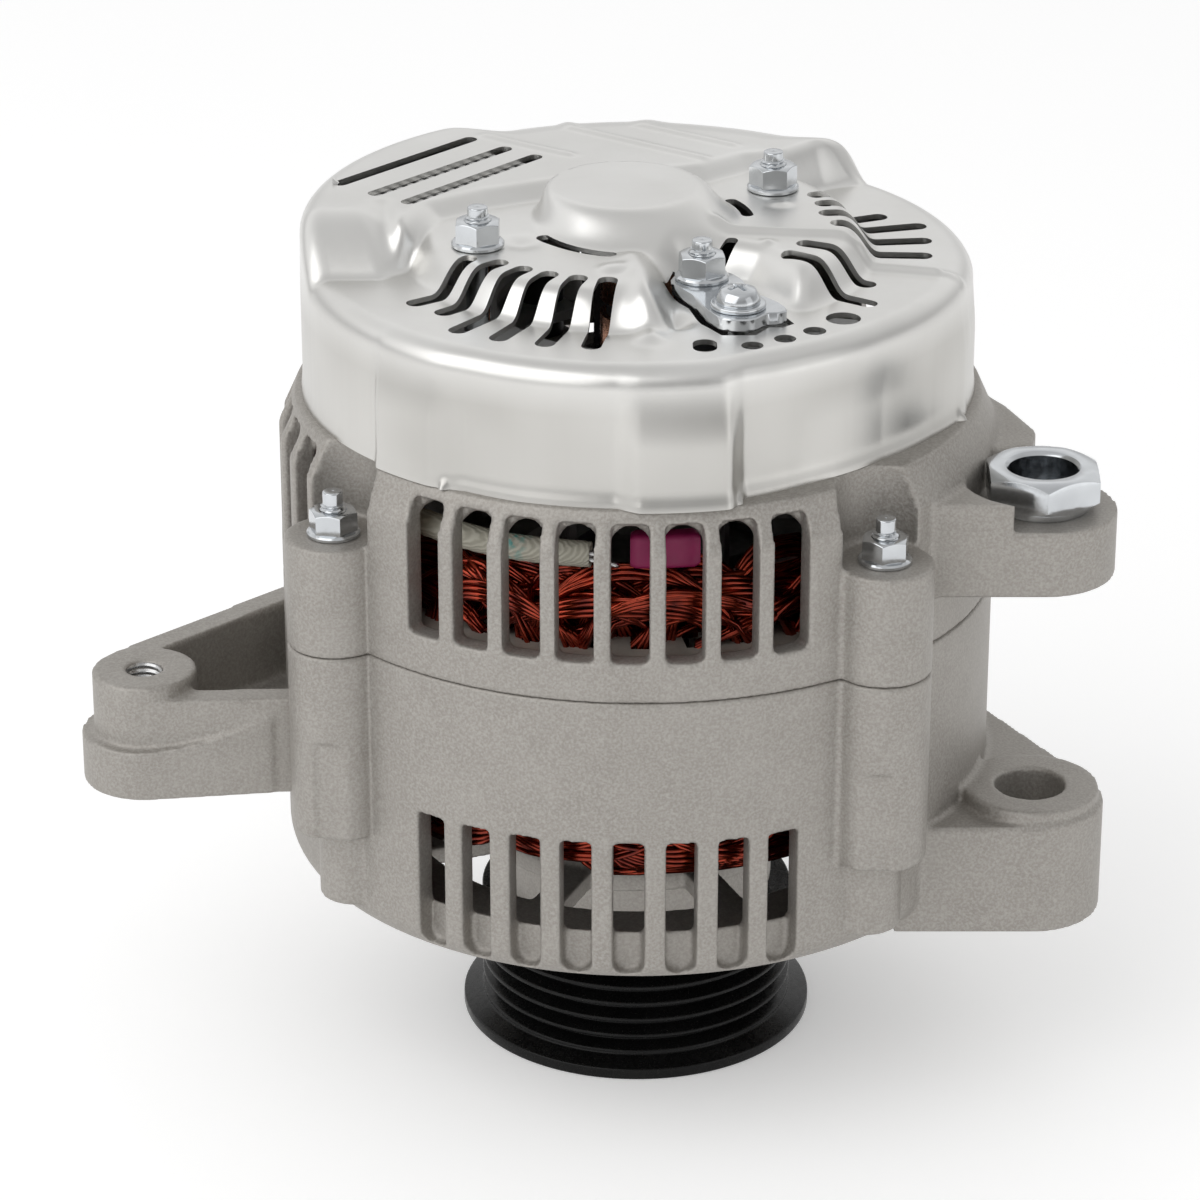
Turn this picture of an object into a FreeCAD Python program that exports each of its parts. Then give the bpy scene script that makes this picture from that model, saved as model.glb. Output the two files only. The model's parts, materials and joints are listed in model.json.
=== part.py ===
import FreeCAD, Part
import math
import os
import re

import Sketcher

Vector = FreeCAD.Vector

# An alternator standing on its belt pulley, rear cover up. The shaft is the Z axis,
# the origin is the centre of the pulley's front face, and every size is in millimetres
# or degrees.

SIZES = {
    # pulley, from its front face up
    "pulley_flange_radius": 34.9,
    "pulley_flange_width": 2.2,
    "pulley_crest_radius": 31.0,
    "pulley_rim_wall": 4.1,
    "groove_pitch": 3.56,
    "groove_depth": 2.9,
    "crest_flat": 0.8,
    "first_groove_height": 4.3,
    "groove_count": 6,
    "pulley_back_land": 0.94,
    "pulley_web_height": 13.0,
    "pulley_web_thickness": 5.0,
    "pulley_hub_wall": 5.5,
    # shaft and what is clamped on its front end
    "shaft_front_radius": 8.5,
    "shaft_end_reach": 1.5,
    "shaft_shoulder": 1.0,
    "rear_journal_shoulder": 2.0,
    "pulley_nut_width": 24.0,
    "pulley_nut_thickness": 8.5,
    "pulley_nut_bore": 7.0,
    "collar_radius": 12.0,
    "collar_length": 4.9,
    "front_bearing_width": 14.0,
    "front_bearing_radius": 23.5,
    "race_thickness": 4.0,
    "seal_thickness": 0.8,
    "seal_depth": 0.4,
    "seal_clearance": 0.2,
    "hole_clearance": 0.1,
    "fit_clearance": 0.03,
    "touch_clearance": 0.05,
    # front housing
    "housing_radius": 69.0,
    "housing_wall": 4.8,
    "housing_edge_radius": 5.5,
    "floor_thickness": 4.0,
    "nose_depth": 8.0,
    "nose_wall": 3.5,
    "bearing_lip_thickness": 2.9,
    "bearing_lip_width": 6.5,
    "bearing_boss_wall": 7.0,
    "retainer_hole_margin": 0.5,
    "retainer_screw_radius": 2.0,
    "retainer_screw_head": 3.6,
    "screw_head_height": 1.8,
    "retainer_screw_length": 7.0,
    "retainer_screw_count": 4,
    "retainer_screw_turn": 45.0,
    "floor_opening_margin": 0.5,
    "floor_opening_edge": 18.2,
    "floor_spokes": 8,
    "floor_spoke_width": 6.0,
    # windows in the housing walls
    "window_count": 8,
    "window_middle_angle": -95.8,
    "window_bolt_margin": 12.0,
    "front_window_step": 8.2,
    "front_window_width": 5.8,
    "front_groove_rise": 1.5,
    "front_groove_depth": 4.0,
    "front_sill_rise": 9.5,
    "front_window_drop": 1.0,
    "rear_window_step": 8.4,
    "rear_window_width": 7.0,
    "rear_window_rise": 1.3,
    "rear_arch_rise": 1.9,
    "rear_window_skin": 0.2,
    # stator clamped in the housing
    "stator_seat": 0.8,
    "stator_back_iron": 6.0,
    "stator_slot_depth": 12.0,
    "stator_length": 34.0,
    "stator_slots": 36,
    "slot_width": 3.4,
    "slot_mouth": 1.6,
    "slot_lip": 1.4,
    "winding_clearance": 0.25,
    "winding_front_length": 14.5,
    "winding_rear_length": 15.5,
    "winding_spread": 1.0,
    "winding_root": 1.5,
    "winding_corner": 4.0,
    # phase lead laid on the winding
    "lead_inset": 2.6,
    "lead_radius": 2.2,
    "lead_start_angle": -137.0,
    "lead_sweep": 38.5,
    "clip_start_angle": -92.0,
    "clip_sweep": 13.0,
    "clip_inside": 1.5,
    "clip_outside": 2.4,
    "clip_height": 6.6,
    # rotor
    "air_gap": 0.5,
    "rotor_overhang": 8.0,
    "claw_disc_thickness": 11.0,
    "claw_count": 6,
    "claw_gap": 5.35,
    "claw_tip_width": 12.0,
    "claw_thickness": 8.0,
    "claw_tip_thickness": 4.0,
    "claw_tip_gap": 2.0,
    "core_radius": 19.0,
    "shaft_core_radius": 10.0,
    "bobbin_wall": 1.2,
    "coil_clearance": 2.5,
    "fan_sheet": 1.4,
    "fan_edge_gap": 0.5,
    "fan_hub_radius": 24.0,
    "fan_blade_height": 11.0,
    "fan_blade_count": 9,
    "fan_blade_lean": 38.0,
    "fan_blade_start": 1.0,
    "fan_blade_offset": 3.0,
    "fan_arm_width": 9.0,
    "front_fan_gap": 1.65,
    "rear_fan_gap": 5.6,
    # rear housing
    "rear_floor_thickness": 5.4,
    "rear_grip": 6.5,
    "rear_shoulder_inset": 3.4,
    "rear_shoulder_drop": 7.5,
    "rear_bearing_drop": 2.1,
    "rear_bearing_width": 10.0,
    "rear_bearing_radius": 16.0,
    "rear_bearing_bore": 6.0,
    "rear_race_thickness": 3.0,
    "rear_boss_wall": 3.5,
    "rear_boss_lip": 1.0,
    "rear_lip_thickness": 3.0,
    "rear_lip_width": 4.0,
    "rear_vent_margin": 4.5,
    "rear_vent_edge": 18.2,
    "rear_spoke_width": 12.0,
    # through bolts, screwed into the front housing from behind
    "bolt_circle_offset": 0.5,
    "bolt_lobe_radius": 9.2,
    "bolt_radius": 2.5,
    "bolt_clearance": 0.3,
    "bolt_seat_drop": 15.0,
    "bolt_reach": 3.6,
    "bolt_tip_radius": 1.9,
    "bolt_tip_length": 2.4,
    "bolt_grip_depth": 2.0,
    "column_rise": 20.0,
    "column_foot_radius": 6.9,
    "column_foot_inset": 3.1,
    "column_foot_rise": 4.5,
    "column_recess_depth": 1.0,
    "column_recess_height": 20.5,
    "column_recess_side": 2.3,
    "column_recess_reach": 13.2,
    "column_recess_turn": 40.0,
    "niche_radius": 9.4,
    "niche_wall": 1.8,
    "niche_floor": 1.5,
    "nut_width": 8.0,
    "nut_height": 5.0,
    "nut_flange_radius": 5.0,
    "nut_flange_height": 1.2,
    # pivot ears on the right, one on each housing
    "pivot_outset": 6.4,
    "pivot_back": 28.8,
    "pivot_ear_radius": 14.2,
    "pivot_bore_radius": 6.75,
    "pivot_pad_edge": 1.0,
    "ear_root_depth": 4.0,
    "ear_back_depth": 1.0,
    "ear_back_angle": 17.0,
    "front_ear_drop": 2.5,
    "front_ear_thickness": 22.4,
    "front_ear_pad": 2.6,
    "rear_ear_drop": 14.0,
    "rear_ear_thickness": 13.0,
    "rear_block_rise": 5.8,
    "rear_block_gap": 1.0,
    "rear_block_step": 3.4,
    "rear_block_back": 23.3,
    "rear_block_out": 0.8,
    "rear_block_wall_out": 1.2,
    "rear_block_angle": 17.6,
    "bush_bore_radius": 6.5,
    "bush_wall": 1.5,
    "bush_flange_lip": 1.0,
    "bush_flange_thickness": 1.6,
    "bush_hex_width": 20.4,
    "bush_hex_height": 6.4,
    "bush_hex_turn": 30.0,
    # adjusting ear on the left
    "adjust_outset": 25.5,
    "adjust_back": 24.5,
    "adjust_boss_radius": 10.0,
    "adjust_boss_height": 22.5,
    "adjust_drop": 8.0,
    "adjust_foot_lip": 2.4,
    "adjust_foot_height": 10.0,
    "adjust_foot_sweep": 62.0,
    "adjust_foot_shift": 2.5,
    "adjust_foot_share": 0.78,
    "adjust_foot_rise": 6.0,
    "adjust_thread_radius": 3.4,
    "adjust_wall": 5.5,
    "adjust_front_height": 19.8,
    "adjust_rear_height": 22.0,
    "adjust_floor_height": 6.0,
    "adjust_root_depth": 3.0,
    "adjust_front_shift": 2.0,
    "adjust_rear_shift": 4.0,
    "adjust_front_angle": -153.0,
    "adjust_rear_angle": 163.0,
    # rear cover
    "cover_sheet": 1.0,
    "cover_rim_margin": 1.0,
    "cover_panel_out": 0.9,
    "cover_panel_in": 0.4,
    "cover_side_fall": 1.2,
    "cover_flat_depth": 5.2,
    "cover_flat_lead": 1.2,
    "cover_flat_trail": 3.0,
    "cover_wall_height": 26.0,
    "cover_shelf_edge": 4.0,
    "cover_disc_rise": 6.5,
    "cover_disc_radius": 42.0,
    "cover_disc_slope": 3.5,
    "cover_plateau_rise": 2.5,
    "cover_dome_rise": 5.7,
    "cover_dome_foot": 20.5,
    "cover_dome_top": 15.0,
    "cover_dome_across": 3.0,
    "cover_dome_back": 4.5,
    "cooling_slot_width": 3.7,
    "long_slot_width": 3.2,
    "long_slot_count": 3,
    "long_slot_angle": 48.4,
    "long_slot_inset": 13.0,
    "long_slot_spacing": 8.7,
    "long_slot_start": 27.4,
    "long_slot_end": 8.6,
    "arc_slot_radius": 20.6,
    "arc_slot_width": 2.4,
    "shelf_slot_inset": 8.1,
    "shelf_slot_length": 2.0,
    "shelf_slot_width": 4.5,
    "shelf_slot_angle": -77.3,
    "nut_window_margin": 1.9,
    "terminal_window_margin": 1.4,
    "window_bump_shift": 5.7,
    "window_bump_radius": 4.0,
    # slip rings, brushes and electrical parts under the cover
    "slip_core_radius": 5.0,
    "slip_ring_radius": 7.3,
    "slip_ring_wall": 1.2,
    "slip_ring_width": 7.0,
    "slip_ring_rise": 7.0,
    "slip_ring_gap": 3.0,
    "slip_sleeve_reach": 2.0,
    "shaft_reach": 4.0,
    "brush_width": 4.6,
    "brush_height": 6.0,
    "brush_length": 13.0,
    "brush_touch": 0.15,
    "brush_side_clearance": 0.15,
    "brush_spring_radius": 1.9,
    "brush_spring_wire": 0.6,
    "holder_width": 17.0,
    "holder_length": 26.0,
    "holder_front": 9.0,
    "holder_back_wall": 3.0,
    "holder_rise": 4.0,
    "holder_margin": 3.0,
    "plate_sheet": 2.0,
    "spacer_height": 5.0,
    "spacer_radius": 4.5,
    "rectifier_gap": 9.0,
    "rectifier_edge_gap": 8.6,
    "rectifier_start_angle": 118.0,
    "rectifier_sweep": 232.0,
    "fin_plate_inset": 3.0,
    "fin_plate_edge": 1.0,
    "fin_plate_turn": 4.0,
    "fin_angle": 138.0,
    "fin_count": 7,
    "fin_edge": 4.8,
    "fin_thickness": 1.6,
    "fin_pitch": 3.2,
    "fin_length": 34.0,
    "fin_height": 5.5,
    "diode_count": 6,
    "diode_radius": 6.0,
    "diode_height": 6.0,
    "diode_edge": 4.0,
    "regulator_gap": 0.5,
    "regulator_width": 17.0,
    "regulator_front": 24.0,
    "regulator_depth": 16.0,
    "regulator_height": 12.0,
    "regulator_foot_radius": 4.0,
    "stud_radius": 2.5,
    "stud_clearance": 0.3,
    "stud_length": 7.6,
    "left_stud_x": -30.0,
    "left_stud_y": -15.0,
    "right_stud_x": 26.0,
    "right_stud_y": 18.0,
    "front_stud_x": 11.5,
    "front_stud_y": -22.5,
    "rear_stud_x": -19.0,
    "rear_stud_y": 27.0,
    "terminal_x": 17.8,
    "terminal_y": -37.7,
    "terminal_rise": 1.5,
    "terminal_sheet": 1.2,
    "terminal_washer": 1.0,
    "terminal_screw_radius": 2.0,
    "terminal_screw_length": 8.0,
    "terminal_washer_radius": 5.1,
    "terminal_plate_edge": 0.1,
    "terminal_head_edge": 1.0,
    "terminal_head_curve": 1.15,
    "terminal_head_sink": 0.55,
    "socket_width": 22.0,
    "socket_height": 11.0,
    "socket_reach": 9.0,
    "socket_depth": 14.5,
    "socket_wall": 2.0,
    "socket_corner": 3.0,
    "socket_rise": 1.0,
    "socket_gap": 0.3,
    "socket_opening": 1.0,
}

# Sizes that follow from others. What fits, seats on or lines up with a piece is measured from it here.
SUMS = {
    "pulley_height": "first_groove_height + groove_pitch * groove_count + pulley_back_land",
    "pulley_recess_radius": "pulley_crest_radius - groove_depth - pulley_rim_wall",
    "pulley_hub_radius": "shaft_front_radius + pulley_hub_wall",
    "shaft_end_height": "pulley_web_height - pulley_nut_thickness - shaft_end_reach",
    "shaft_thread_radius": "pulley_nut_bore - touch_clearance",
    "front_bearing_height": "pulley_height + collar_length",
    "front_bearing_top": "front_bearing_height + front_bearing_width",
    "front_boss_radius": "front_bearing_radius + bearing_boss_wall",
    "housing_floor_height": "front_bearing_height + nose_depth",
    "housing_nose_height": "front_bearing_height - bearing_lip_thickness",
    "housing_nose_radius": "front_bearing_radius + nose_wall",
    "housing_inner_radius": "housing_radius - housing_wall",
    "retainer_bottom": "front_bearing_top + touch_clearance",
    "retainer_top": "retainer_bottom + plate_sheet",
    "retainer_screw_bottom": "retainer_top - retainer_screw_length",
    "rotor_bottom": "retainer_top + screw_head_height + front_fan_gap + fan_blade_height",
    "rotor_length": "stator_length + rotor_overhang * 2",
    "rotor_top": "rotor_bottom + rotor_length",
    "stator_bottom": "rotor_bottom + rotor_overhang",
    "stator_top": "stator_bottom + stator_length",
    "stator_radius": "housing_inner_radius + stator_seat",
    "slot_bottom_radius": "stator_radius - stator_back_iron",
    "stator_bore": "slot_bottom_radius - stator_slot_depth",
    "rotor_radius": "stator_bore - air_gap",
    "coil_radius": "rotor_radius - claw_thickness - coil_clearance",
    "fan_radius": "rotor_radius - fan_edge_gap",
    "winding_top": "stator_top + winding_rear_length",
    "parting_height": "stator_top - rear_grip",
    "rear_floor_height": "rotor_top + fan_blade_height + rear_fan_gap",
    "rear_housing_top": "rear_floor_height + rear_floor_thickness",
    "rear_rim_radius": "housing_radius - rear_shoulder_inset",
    "rear_bearing_height": "rear_floor_height - rear_bearing_drop",
    "rear_bearing_top": "rear_bearing_height + rear_bearing_width",
    "rear_boss_radius": "rear_bearing_radius + rear_boss_wall",
    "rear_boss_top": "rear_bearing_top + rear_boss_lip",
    "bolt_circle_radius": "housing_radius + bolt_circle_offset",
    "bolt_seat_height": "rear_housing_top - bolt_seat_drop",
    "bolt_foot_height": "column_bottom + bolt_grip_depth",
    "bolt_tip_height": "bolt_seat_height + nut_height + bolt_reach - bolt_tip_length",
    "column_bottom": "housing_floor_height + column_rise",
    "pivot_across": "housing_radius + pivot_outset",
    "front_ear_bottom": "housing_floor_height - front_ear_drop",
    "front_ear_top": "front_ear_bottom + front_ear_thickness",
    "front_pad_top": "front_ear_top + front_ear_pad",
    "rear_ear_top": "rear_housing_top - rear_ear_drop",
    "rear_ear_bottom": "rear_ear_top - rear_ear_thickness",
    "bush_radius": "bush_bore_radius + bush_wall",
    "bush_hex_bottom": "rear_ear_top + bush_flange_thickness",
    "adjust_across": "housing_radius + adjust_outset",
    "adjust_bottom": "stator_bottom - adjust_drop",
    "adjust_top": "adjust_bottom + adjust_boss_height",
    "cover_radius": "rear_rim_radius - cover_rim_margin",
    "cover_shelf_height": "rear_housing_top + cover_wall_height",
    "cover_flat_radius": "cover_radius - cover_flat_depth",
    "cover_disc_height": "cover_shelf_height + cover_disc_rise",
    "cover_plateau_height": "cover_disc_height + cover_plateau_rise",
    "cover_dome_height": "cover_disc_height + cover_dome_rise",
    "slip_ring_bottom": "rear_housing_top + slip_ring_rise",
    "slip_ring_top": "slip_ring_bottom + slip_ring_width * 2 + slip_ring_gap",
    "slip_sleeve_radius": "slip_ring_radius - slip_ring_wall",
    "shaft_top": "slip_ring_top + shaft_reach",
    "brush_start": "slip_ring_radius + brush_touch",
    "holder_bottom": "rear_housing_top + holder_rise",
    "holder_top": "slip_ring_top + holder_margin",
    "rectifier_bottom": "rear_housing_top + spacer_height",
    "rectifier_inner_radius": "rear_boss_radius + rear_vent_margin",
    "rectifier_outer_radius": "cover_radius - rectifier_edge_gap",
    "fin_plate_bottom": "rectifier_bottom + rectifier_gap",
    "fin_plate_top": "fin_plate_bottom + plate_sheet",
    "terminal_bottom": "cover_shelf_height + terminal_rise",
    "terminal_top": "terminal_bottom + terminal_sheet",
    "terminal_washer_top": "terminal_top + terminal_washer",
}

# How far a cutter runs past what it cuts
BEYOND = 2.0

BOLT_ANGLES = (-50.0, -144.5, 38.0, 131.0)
# The bolts whose columns have a recess, and the side that it is on
COLUMN_RECESSES = ((-50.0, -1), (-144.5, 1))
# The window groups of each housing, as turns from the front one
FRONT_WINDOW_TURNS = (0.0, 180.0)
REAR_WINDOW_TURNS = (0.0, 180.0, 269.0)
# The plan of the cover: radius and angle at the start, middle and end of each of its panels
COVER_PANELS = (
    (("cover_radius", -15.0), ("cover_radius", 60.0), ("cover_radius", 136.0)),
    (("cover_radius", 138.0), ("cover_radius", 180.0), ("cover_radius - cover_side_fall", 221.0)),
    (("cover_radius + cover_panel_out", 223.0), ("cover_radius + cover_panel_out", 230.0),
     ("cover_radius + cover_panel_out", 236.0)),
    (("cover_radius - cover_panel_in", 238.0), ("cover_radius - cover_panel_in", 252.0),
     ("cover_radius - cover_panel_in", 267.0)),
    (("cover_radius + cover_panel_out", 268.5), ("cover_radius + cover_panel_out", 276.0),
     ("cover_radius + cover_panel_out", 283.0)),
    (("cover_flat_radius + cover_flat_lead", 286.0), ("cover_flat_radius", 318.0),
     ("cover_flat_radius + cover_flat_trail", 343.0)),
)
# Cooling slots of the cover: angle, then how far in from the disc's edge and the cover's wall they end
COOLING_SLOTS = ((-145.0, 3.2, 12.6), (-136.6, 6.3, 13.6), (-127.4, 6.7, 8.6), (-118.4, 6.9, 9.3),
                 (-109.0, 7.2, 10.0), (-99.8, 7.5, 10.8), (-34.8, 7.9, 11.8), (-23.9, 8.0, 16.6),
                 (-3.0, 4.0, 9.0), (6.0, 5.8, 8.3), (14.8, 5.3, 7.2), (22.9, 4.8, 12.3))
# Start and end angles of the slots round the dome
ARC_SLOTS = ((-150.0, -105.0), (-65.0, -34.0), (8.0, 31.0))
# Round holes in the cover's shelf: angle, how far in from the flat side, radius
SHELF_HOLES = ((-68.6, 4.6, 2.0), (-61.3, 5.2, 2.0), (-54.1, 5.7, 2.1), (-45.0, 7.1, 3.2))
# The bay in front of the output terminal, and the edge of the raised back half
BAY_CORNERS = ((5.0, -70.0), (6.5, -30.0), (5.0, -21.0), (9.0, -14.5), (16.0, -13.5), (24.0, -18.0),
               (30.0, -26.0), (34.0, -33.0), (48.0, -70.0))
PLATEAU_CORNERS = ((-80.0, -9.0), (-46.0, -9.0), (-37.0, 1.0), (-12.0, 14.0), (14.0, 22.0), (22.0, 29.0),
                   (32.0, 30.0), (50.0, 42.0), (70.0, 60.0), (70.0, 90.0), (-80.0, 90.0))

doc = FreeCAD.newDocument("alternator")


def fill_sheet():
    """the driving dimensions, one row each"""
    sheet = doc.addObject("Spreadsheet::Sheet", "Sizes")
    for row, (alias, value) in enumerate(SIZES.items(), start=1):
        sheet.set(f"A{row}", alias)
        sheet.set(f"B{row}", str(value))
        sheet.setAlias(f"B{row}", alias)
    doc.recompute()
    return sheet


sizes = fill_sheet()


def spelled_out(word):
    name = word.group()
    return f"({bound(SUMS[name])})" if name in SUMS else "Sizes." + name


def bound(text):
    """a sum of size names as the document's expression"""
    return re.sub(r"\b[a-z][a-z0-9_]*\b(?!\()", spelled_out, text)


def amount(text):
    """what such a sum comes to now"""
    return float(sizes.evalExpression(bound(text)))


def amounts(*texts):
    return [amount(text) for text in texts]


def bind(piece, **sums):
    """tie properties of a piece to sums of sizes"""
    for name, text in sums.items():
        piece.setExpression(name, bound(text))


def move(piece, at):
    """tie a piece's place to sums of sizes"""
    for axis, text in zip("xyz", at):
        piece.setExpression(f"Placement.Base.{axis}", bound(text))


def on_circle(radius, angle):
    """the place sums of a point on a circle about the shaft"""
    return f"({radius}) * cos({angle})", f"({radius}) * sin({angle})"


def polar(radius, angle, height=0.0):
    turn = math.radians(angle)
    return Vector(radius * math.cos(turn), radius * math.sin(turn), height)


# Document objects


def origin_plane(body, role):
    return next(part for part in body.Origin.OriginFeatures if part.Role == role)


def closed_sketch(body, name, profile):
    """a closed outline in the XZ plane whose corners are tied to sums of sizes"""
    sketch = body.newObject("Sketcher::SketchObject", name)
    sketch.AttachmentSupport = (origin_plane(body, "XZ_Plane"), [""])
    sketch.MapMode = "FlatFace"
    corners = [Vector(amount(radius), amount(height), 0) for radius, height in profile]
    count = len(corners)
    for index, corner in enumerate(corners):
        sketch.addGeometry(Part.LineSegment(corner, corners[(index + 1) % count]), False)
    for index in range(count):
        sketch.addConstraint(Sketcher.Constraint("Coincident", index, 2, (index + 1) % count, 1))
    for index, (radius, height) in enumerate(profile):
        pin_corner(sketch, index, "DistanceX", corners[index].x, radius, -2)
        pin_corner(sketch, index, "DistanceY", corners[index].y, height, -1)
    return sketch


def pin_corner(sketch, index, kind, value, text, axis):
    if abs(value) < 1e-9:
        sketch.addConstraint(Sketcher.Constraint("PointOnObject", index, 1, axis))
        return
    row = sketch.addConstraint(Sketcher.Constraint(kind, -1, 1, index, 1, value))
    sketch.setExpression(f"Constraints[{row}]", bound(text))


def turned(label, profile):
    """a body turned about the shaft axis from a closed outline of (radius, height) sums"""
    body = doc.addObject("PartDesign::Body", label)
    sketch = closed_sketch(body, label + "_outline", profile)
    turn = body.newObject("PartDesign::Revolution", label + "_turn")
    turn.Profile = sketch
    turn.ReferenceAxis = (sketch, ["V_Axis"])
    turn.Angle = 360
    return body


def ring(label, inner, outer, low, high):
    """a body with a plain rectangular section"""
    return turned(label, [(inner, low), (outer, low), (outer, high), (inner, high)])


def cylinder(name, radius, height, at):
    piece = doc.addObject("Part::Cylinder", name)
    bind(piece, Radius=radius, Height=height)
    move(piece, at)
    return piece


def box(name, length, width, height, at):
    piece = doc.addObject("Part::Box", name)
    bind(piece, Length=length, Width=width, Height=height)
    move(piece, at)
    return piece


def hexagon(name, across_flats, height, at, turn=0.0):
    piece = doc.addObject("Part::Prism", name)
    piece.Placement = FreeCAD.Placement(Vector(), FreeCAD.Rotation(Vector(0, 0, 1), turn))
    piece.Polygon = 6
    bind(piece, Circumradius=f"({across_flats}) / 2 / cos(30)", Height=height)
    move(piece, at)
    return piece


def fused(label, pieces):
    whole = doc.addObject("Part::MultiFuse", label)
    whole.Shapes = pieces
    return whole


def cut(label, base, tool):
    rest = doc.addObject("Part::Cut", label)
    rest.Base = base
    rest.Tool = tool
    return rest


def group(label, pieces):
    """separate solids kept as one node"""
    together = doc.addObject("Part::Compound", label)
    together.Links = pieces
    return together


def shaped(label, shape, placement=FreeCAD.Placement()):
    """a node whose form is worked out below from the sheet's values"""
    piece = doc.addObject("Part::Feature", label)
    piece.Shape = shape
    piece.Placement = placement.multiply(shape.Placement)
    return piece


# Solids worked out from the sheet's values


def post(x, y, radius, low, high):
    return Part.makeCylinder(radius, high - low, Vector(x, y, low))


def slab(wire, low, high):
    """a closed flat outline at z 0 raised between two heights"""
    face = Part.Face(wire)
    face.translate(Vector(0, 0, low))
    return face.extrude(Vector(0, 0, high - low))


def tangent_hull(first, first_radius, second, second_radius, low, high):
    """the solid round two posts with flats between them"""
    gap = second - first
    lean = math.atan2(gap.y, gap.x)
    spread = math.acos((first_radius - second_radius) / gap.Length)
    ends = []
    for side in (1, -1):
        normal = Vector(math.cos(lean + side * spread), math.sin(lean + side * spread), 0)
        ends.append((first + normal * first_radius, second + normal * second_radius))
    flat = Part.makePolygon([ends[0][0], ends[0][1], ends[1][1], ends[1][0], ends[0][0]])
    solid = slab(flat, low, high)
    solid = solid.fuse(post(first.x, first.y, first_radius, low, high))
    return solid.fuse(post(second.x, second.y, second_radius, low, high))


def radial_post(angle, radius, inner, outer, height):
    """a round bar that points away from the shaft"""
    bar = Part.makeCylinder(radius, outer - inner, Vector(inner, 0, height), Vector(1, 0, 0))
    bar.rotate(Vector(0, 0, 0), Vector(0, 0, 1), angle)
    return bar


def radial_box(angle, width, inner, outer, low, high):
    """a block that points away from the shaft"""
    block = Part.makeBox(outer - inner, width, high - low, Vector(inner, -width / 2, low))
    block.rotate(Vector(0, 0, 0), Vector(0, 0, 1), angle)
    return block


def arched_box(angle, width, inner, outer, low, high):
    """a block like that with a round top"""
    block = radial_box(angle, width, inner, outer, low, high - width / 2)
    return block.fuse(radial_post(angle, width / 2, inner, outer, high - width / 2))


def stadium(start, end, width, low, high):
    """a long hole with round ends"""
    along = (end - start).normalize()
    side = Vector(-along.y, along.x, 0) * (width / 2)
    edges = [
        Part.LineSegment(start + side, end + side).toShape(),
        Part.Arc(end + side, end + along * (width / 2), end - side).toShape(),
        Part.LineSegment(end - side, start - side).toShape(),
        Part.Arc(start - side, start - along * (width / 2), start + side).toShape(),
    ]
    return slab(Part.Wire(edges), low, high)


def arc_slot(radius, width, start, end, low, high):
    """a bent hole round the shaft with round ends"""
    inner = radius - width / 2
    outer = radius + width / 2
    sweep = end - start
    band = Part.makeCylinder(outer, high - low, Vector(0, 0, low), Vector(0, 0, 1), sweep)
    band = band.cut(Part.makeCylinder(inner, high - low, Vector(0, 0, low), Vector(0, 0, 1), 360))
    band.rotate(Vector(0, 0, 0), Vector(0, 0, 1), start)
    for angle in (start, end):
        place = polar(radius, angle)
        band = band.fuse(post(place.x, place.y, width / 2, low, high))
    return band


def sector(inner, outer, start, sweep, low, high):
    """part of a flat ring"""
    band = Part.makeCylinder(outer, high - low, Vector(0, 0, low), Vector(0, 0, 1), sweep)
    band = band.cut(post(0, 0, inner, low - BEYOND, high + BEYOND))
    band.rotate(Vector(0, 0, 0), Vector(0, 0, 1), start)
    return band


def turned_solid(points):
    """a solid turned about the shaft from (radius, height) corners"""
    corners = [Vector(radius, 0, height) for radius, height in points]
    return revolved(Part.makePolygon(corners + corners[:1]))


def revolved(wire):
    return Part.Face(wire).revolve(Vector(0, 0, 0), Vector(0, 0, 1), 360)


def outlined(corners):
    """a closed flat polygon from (x, y) corners"""
    points = [Vector(x, y, 0) for x, y in corners]
    return Part.makePolygon(points + points[:1])


# Pulley


def make_pulley():
    """six vee grooves under a wide front flange, with a recess for the nut"""
    outline = [
        ("pulley_recess_radius", "0"),
        ("pulley_flange_radius", "0"),
        ("pulley_flange_radius", "pulley_flange_width"),
        ("pulley_crest_radius", "first_groove_height - crest_flat"),
    ]
    for index in range(int(amount("groove_count"))):
        low = f"first_groove_height + groove_pitch * {index}"
        root = f"{low} + (groove_pitch - crest_flat * 2) / 2"
        outline += [
            ("pulley_crest_radius", low),
            ("pulley_crest_radius - groove_depth", root),
            ("pulley_crest_radius - groove_depth", f"{root} + crest_flat"),
            ("pulley_crest_radius", f"{low} + groove_pitch - crest_flat"),
        ]
    outline += [
        ("pulley_crest_radius", "pulley_height"),
        ("pulley_recess_radius", "pulley_height"),
        ("pulley_recess_radius", "pulley_web_height + pulley_web_thickness"),
        ("pulley_hub_radius", "pulley_web_height + pulley_web_thickness"),
        ("pulley_hub_radius", "pulley_height"),
        ("shaft_front_radius", "pulley_height"),
        ("shaft_front_radius", "pulley_web_height"),
        ("pulley_recess_radius", "pulley_web_height"),
    ]
    return turned("pulley", outline)


def make_pulley_nut():
    at = ("0", "0", "pulley_web_height - pulley_nut_thickness")
    outer = hexagon("pulley_nut_blank", "pulley_nut_width", "pulley_nut_thickness", at)
    bore = cylinder("pulley_nut_hole", "pulley_nut_bore", "pulley_nut_thickness", at)
    return cut("pulley_nut", outer, bore)


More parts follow.
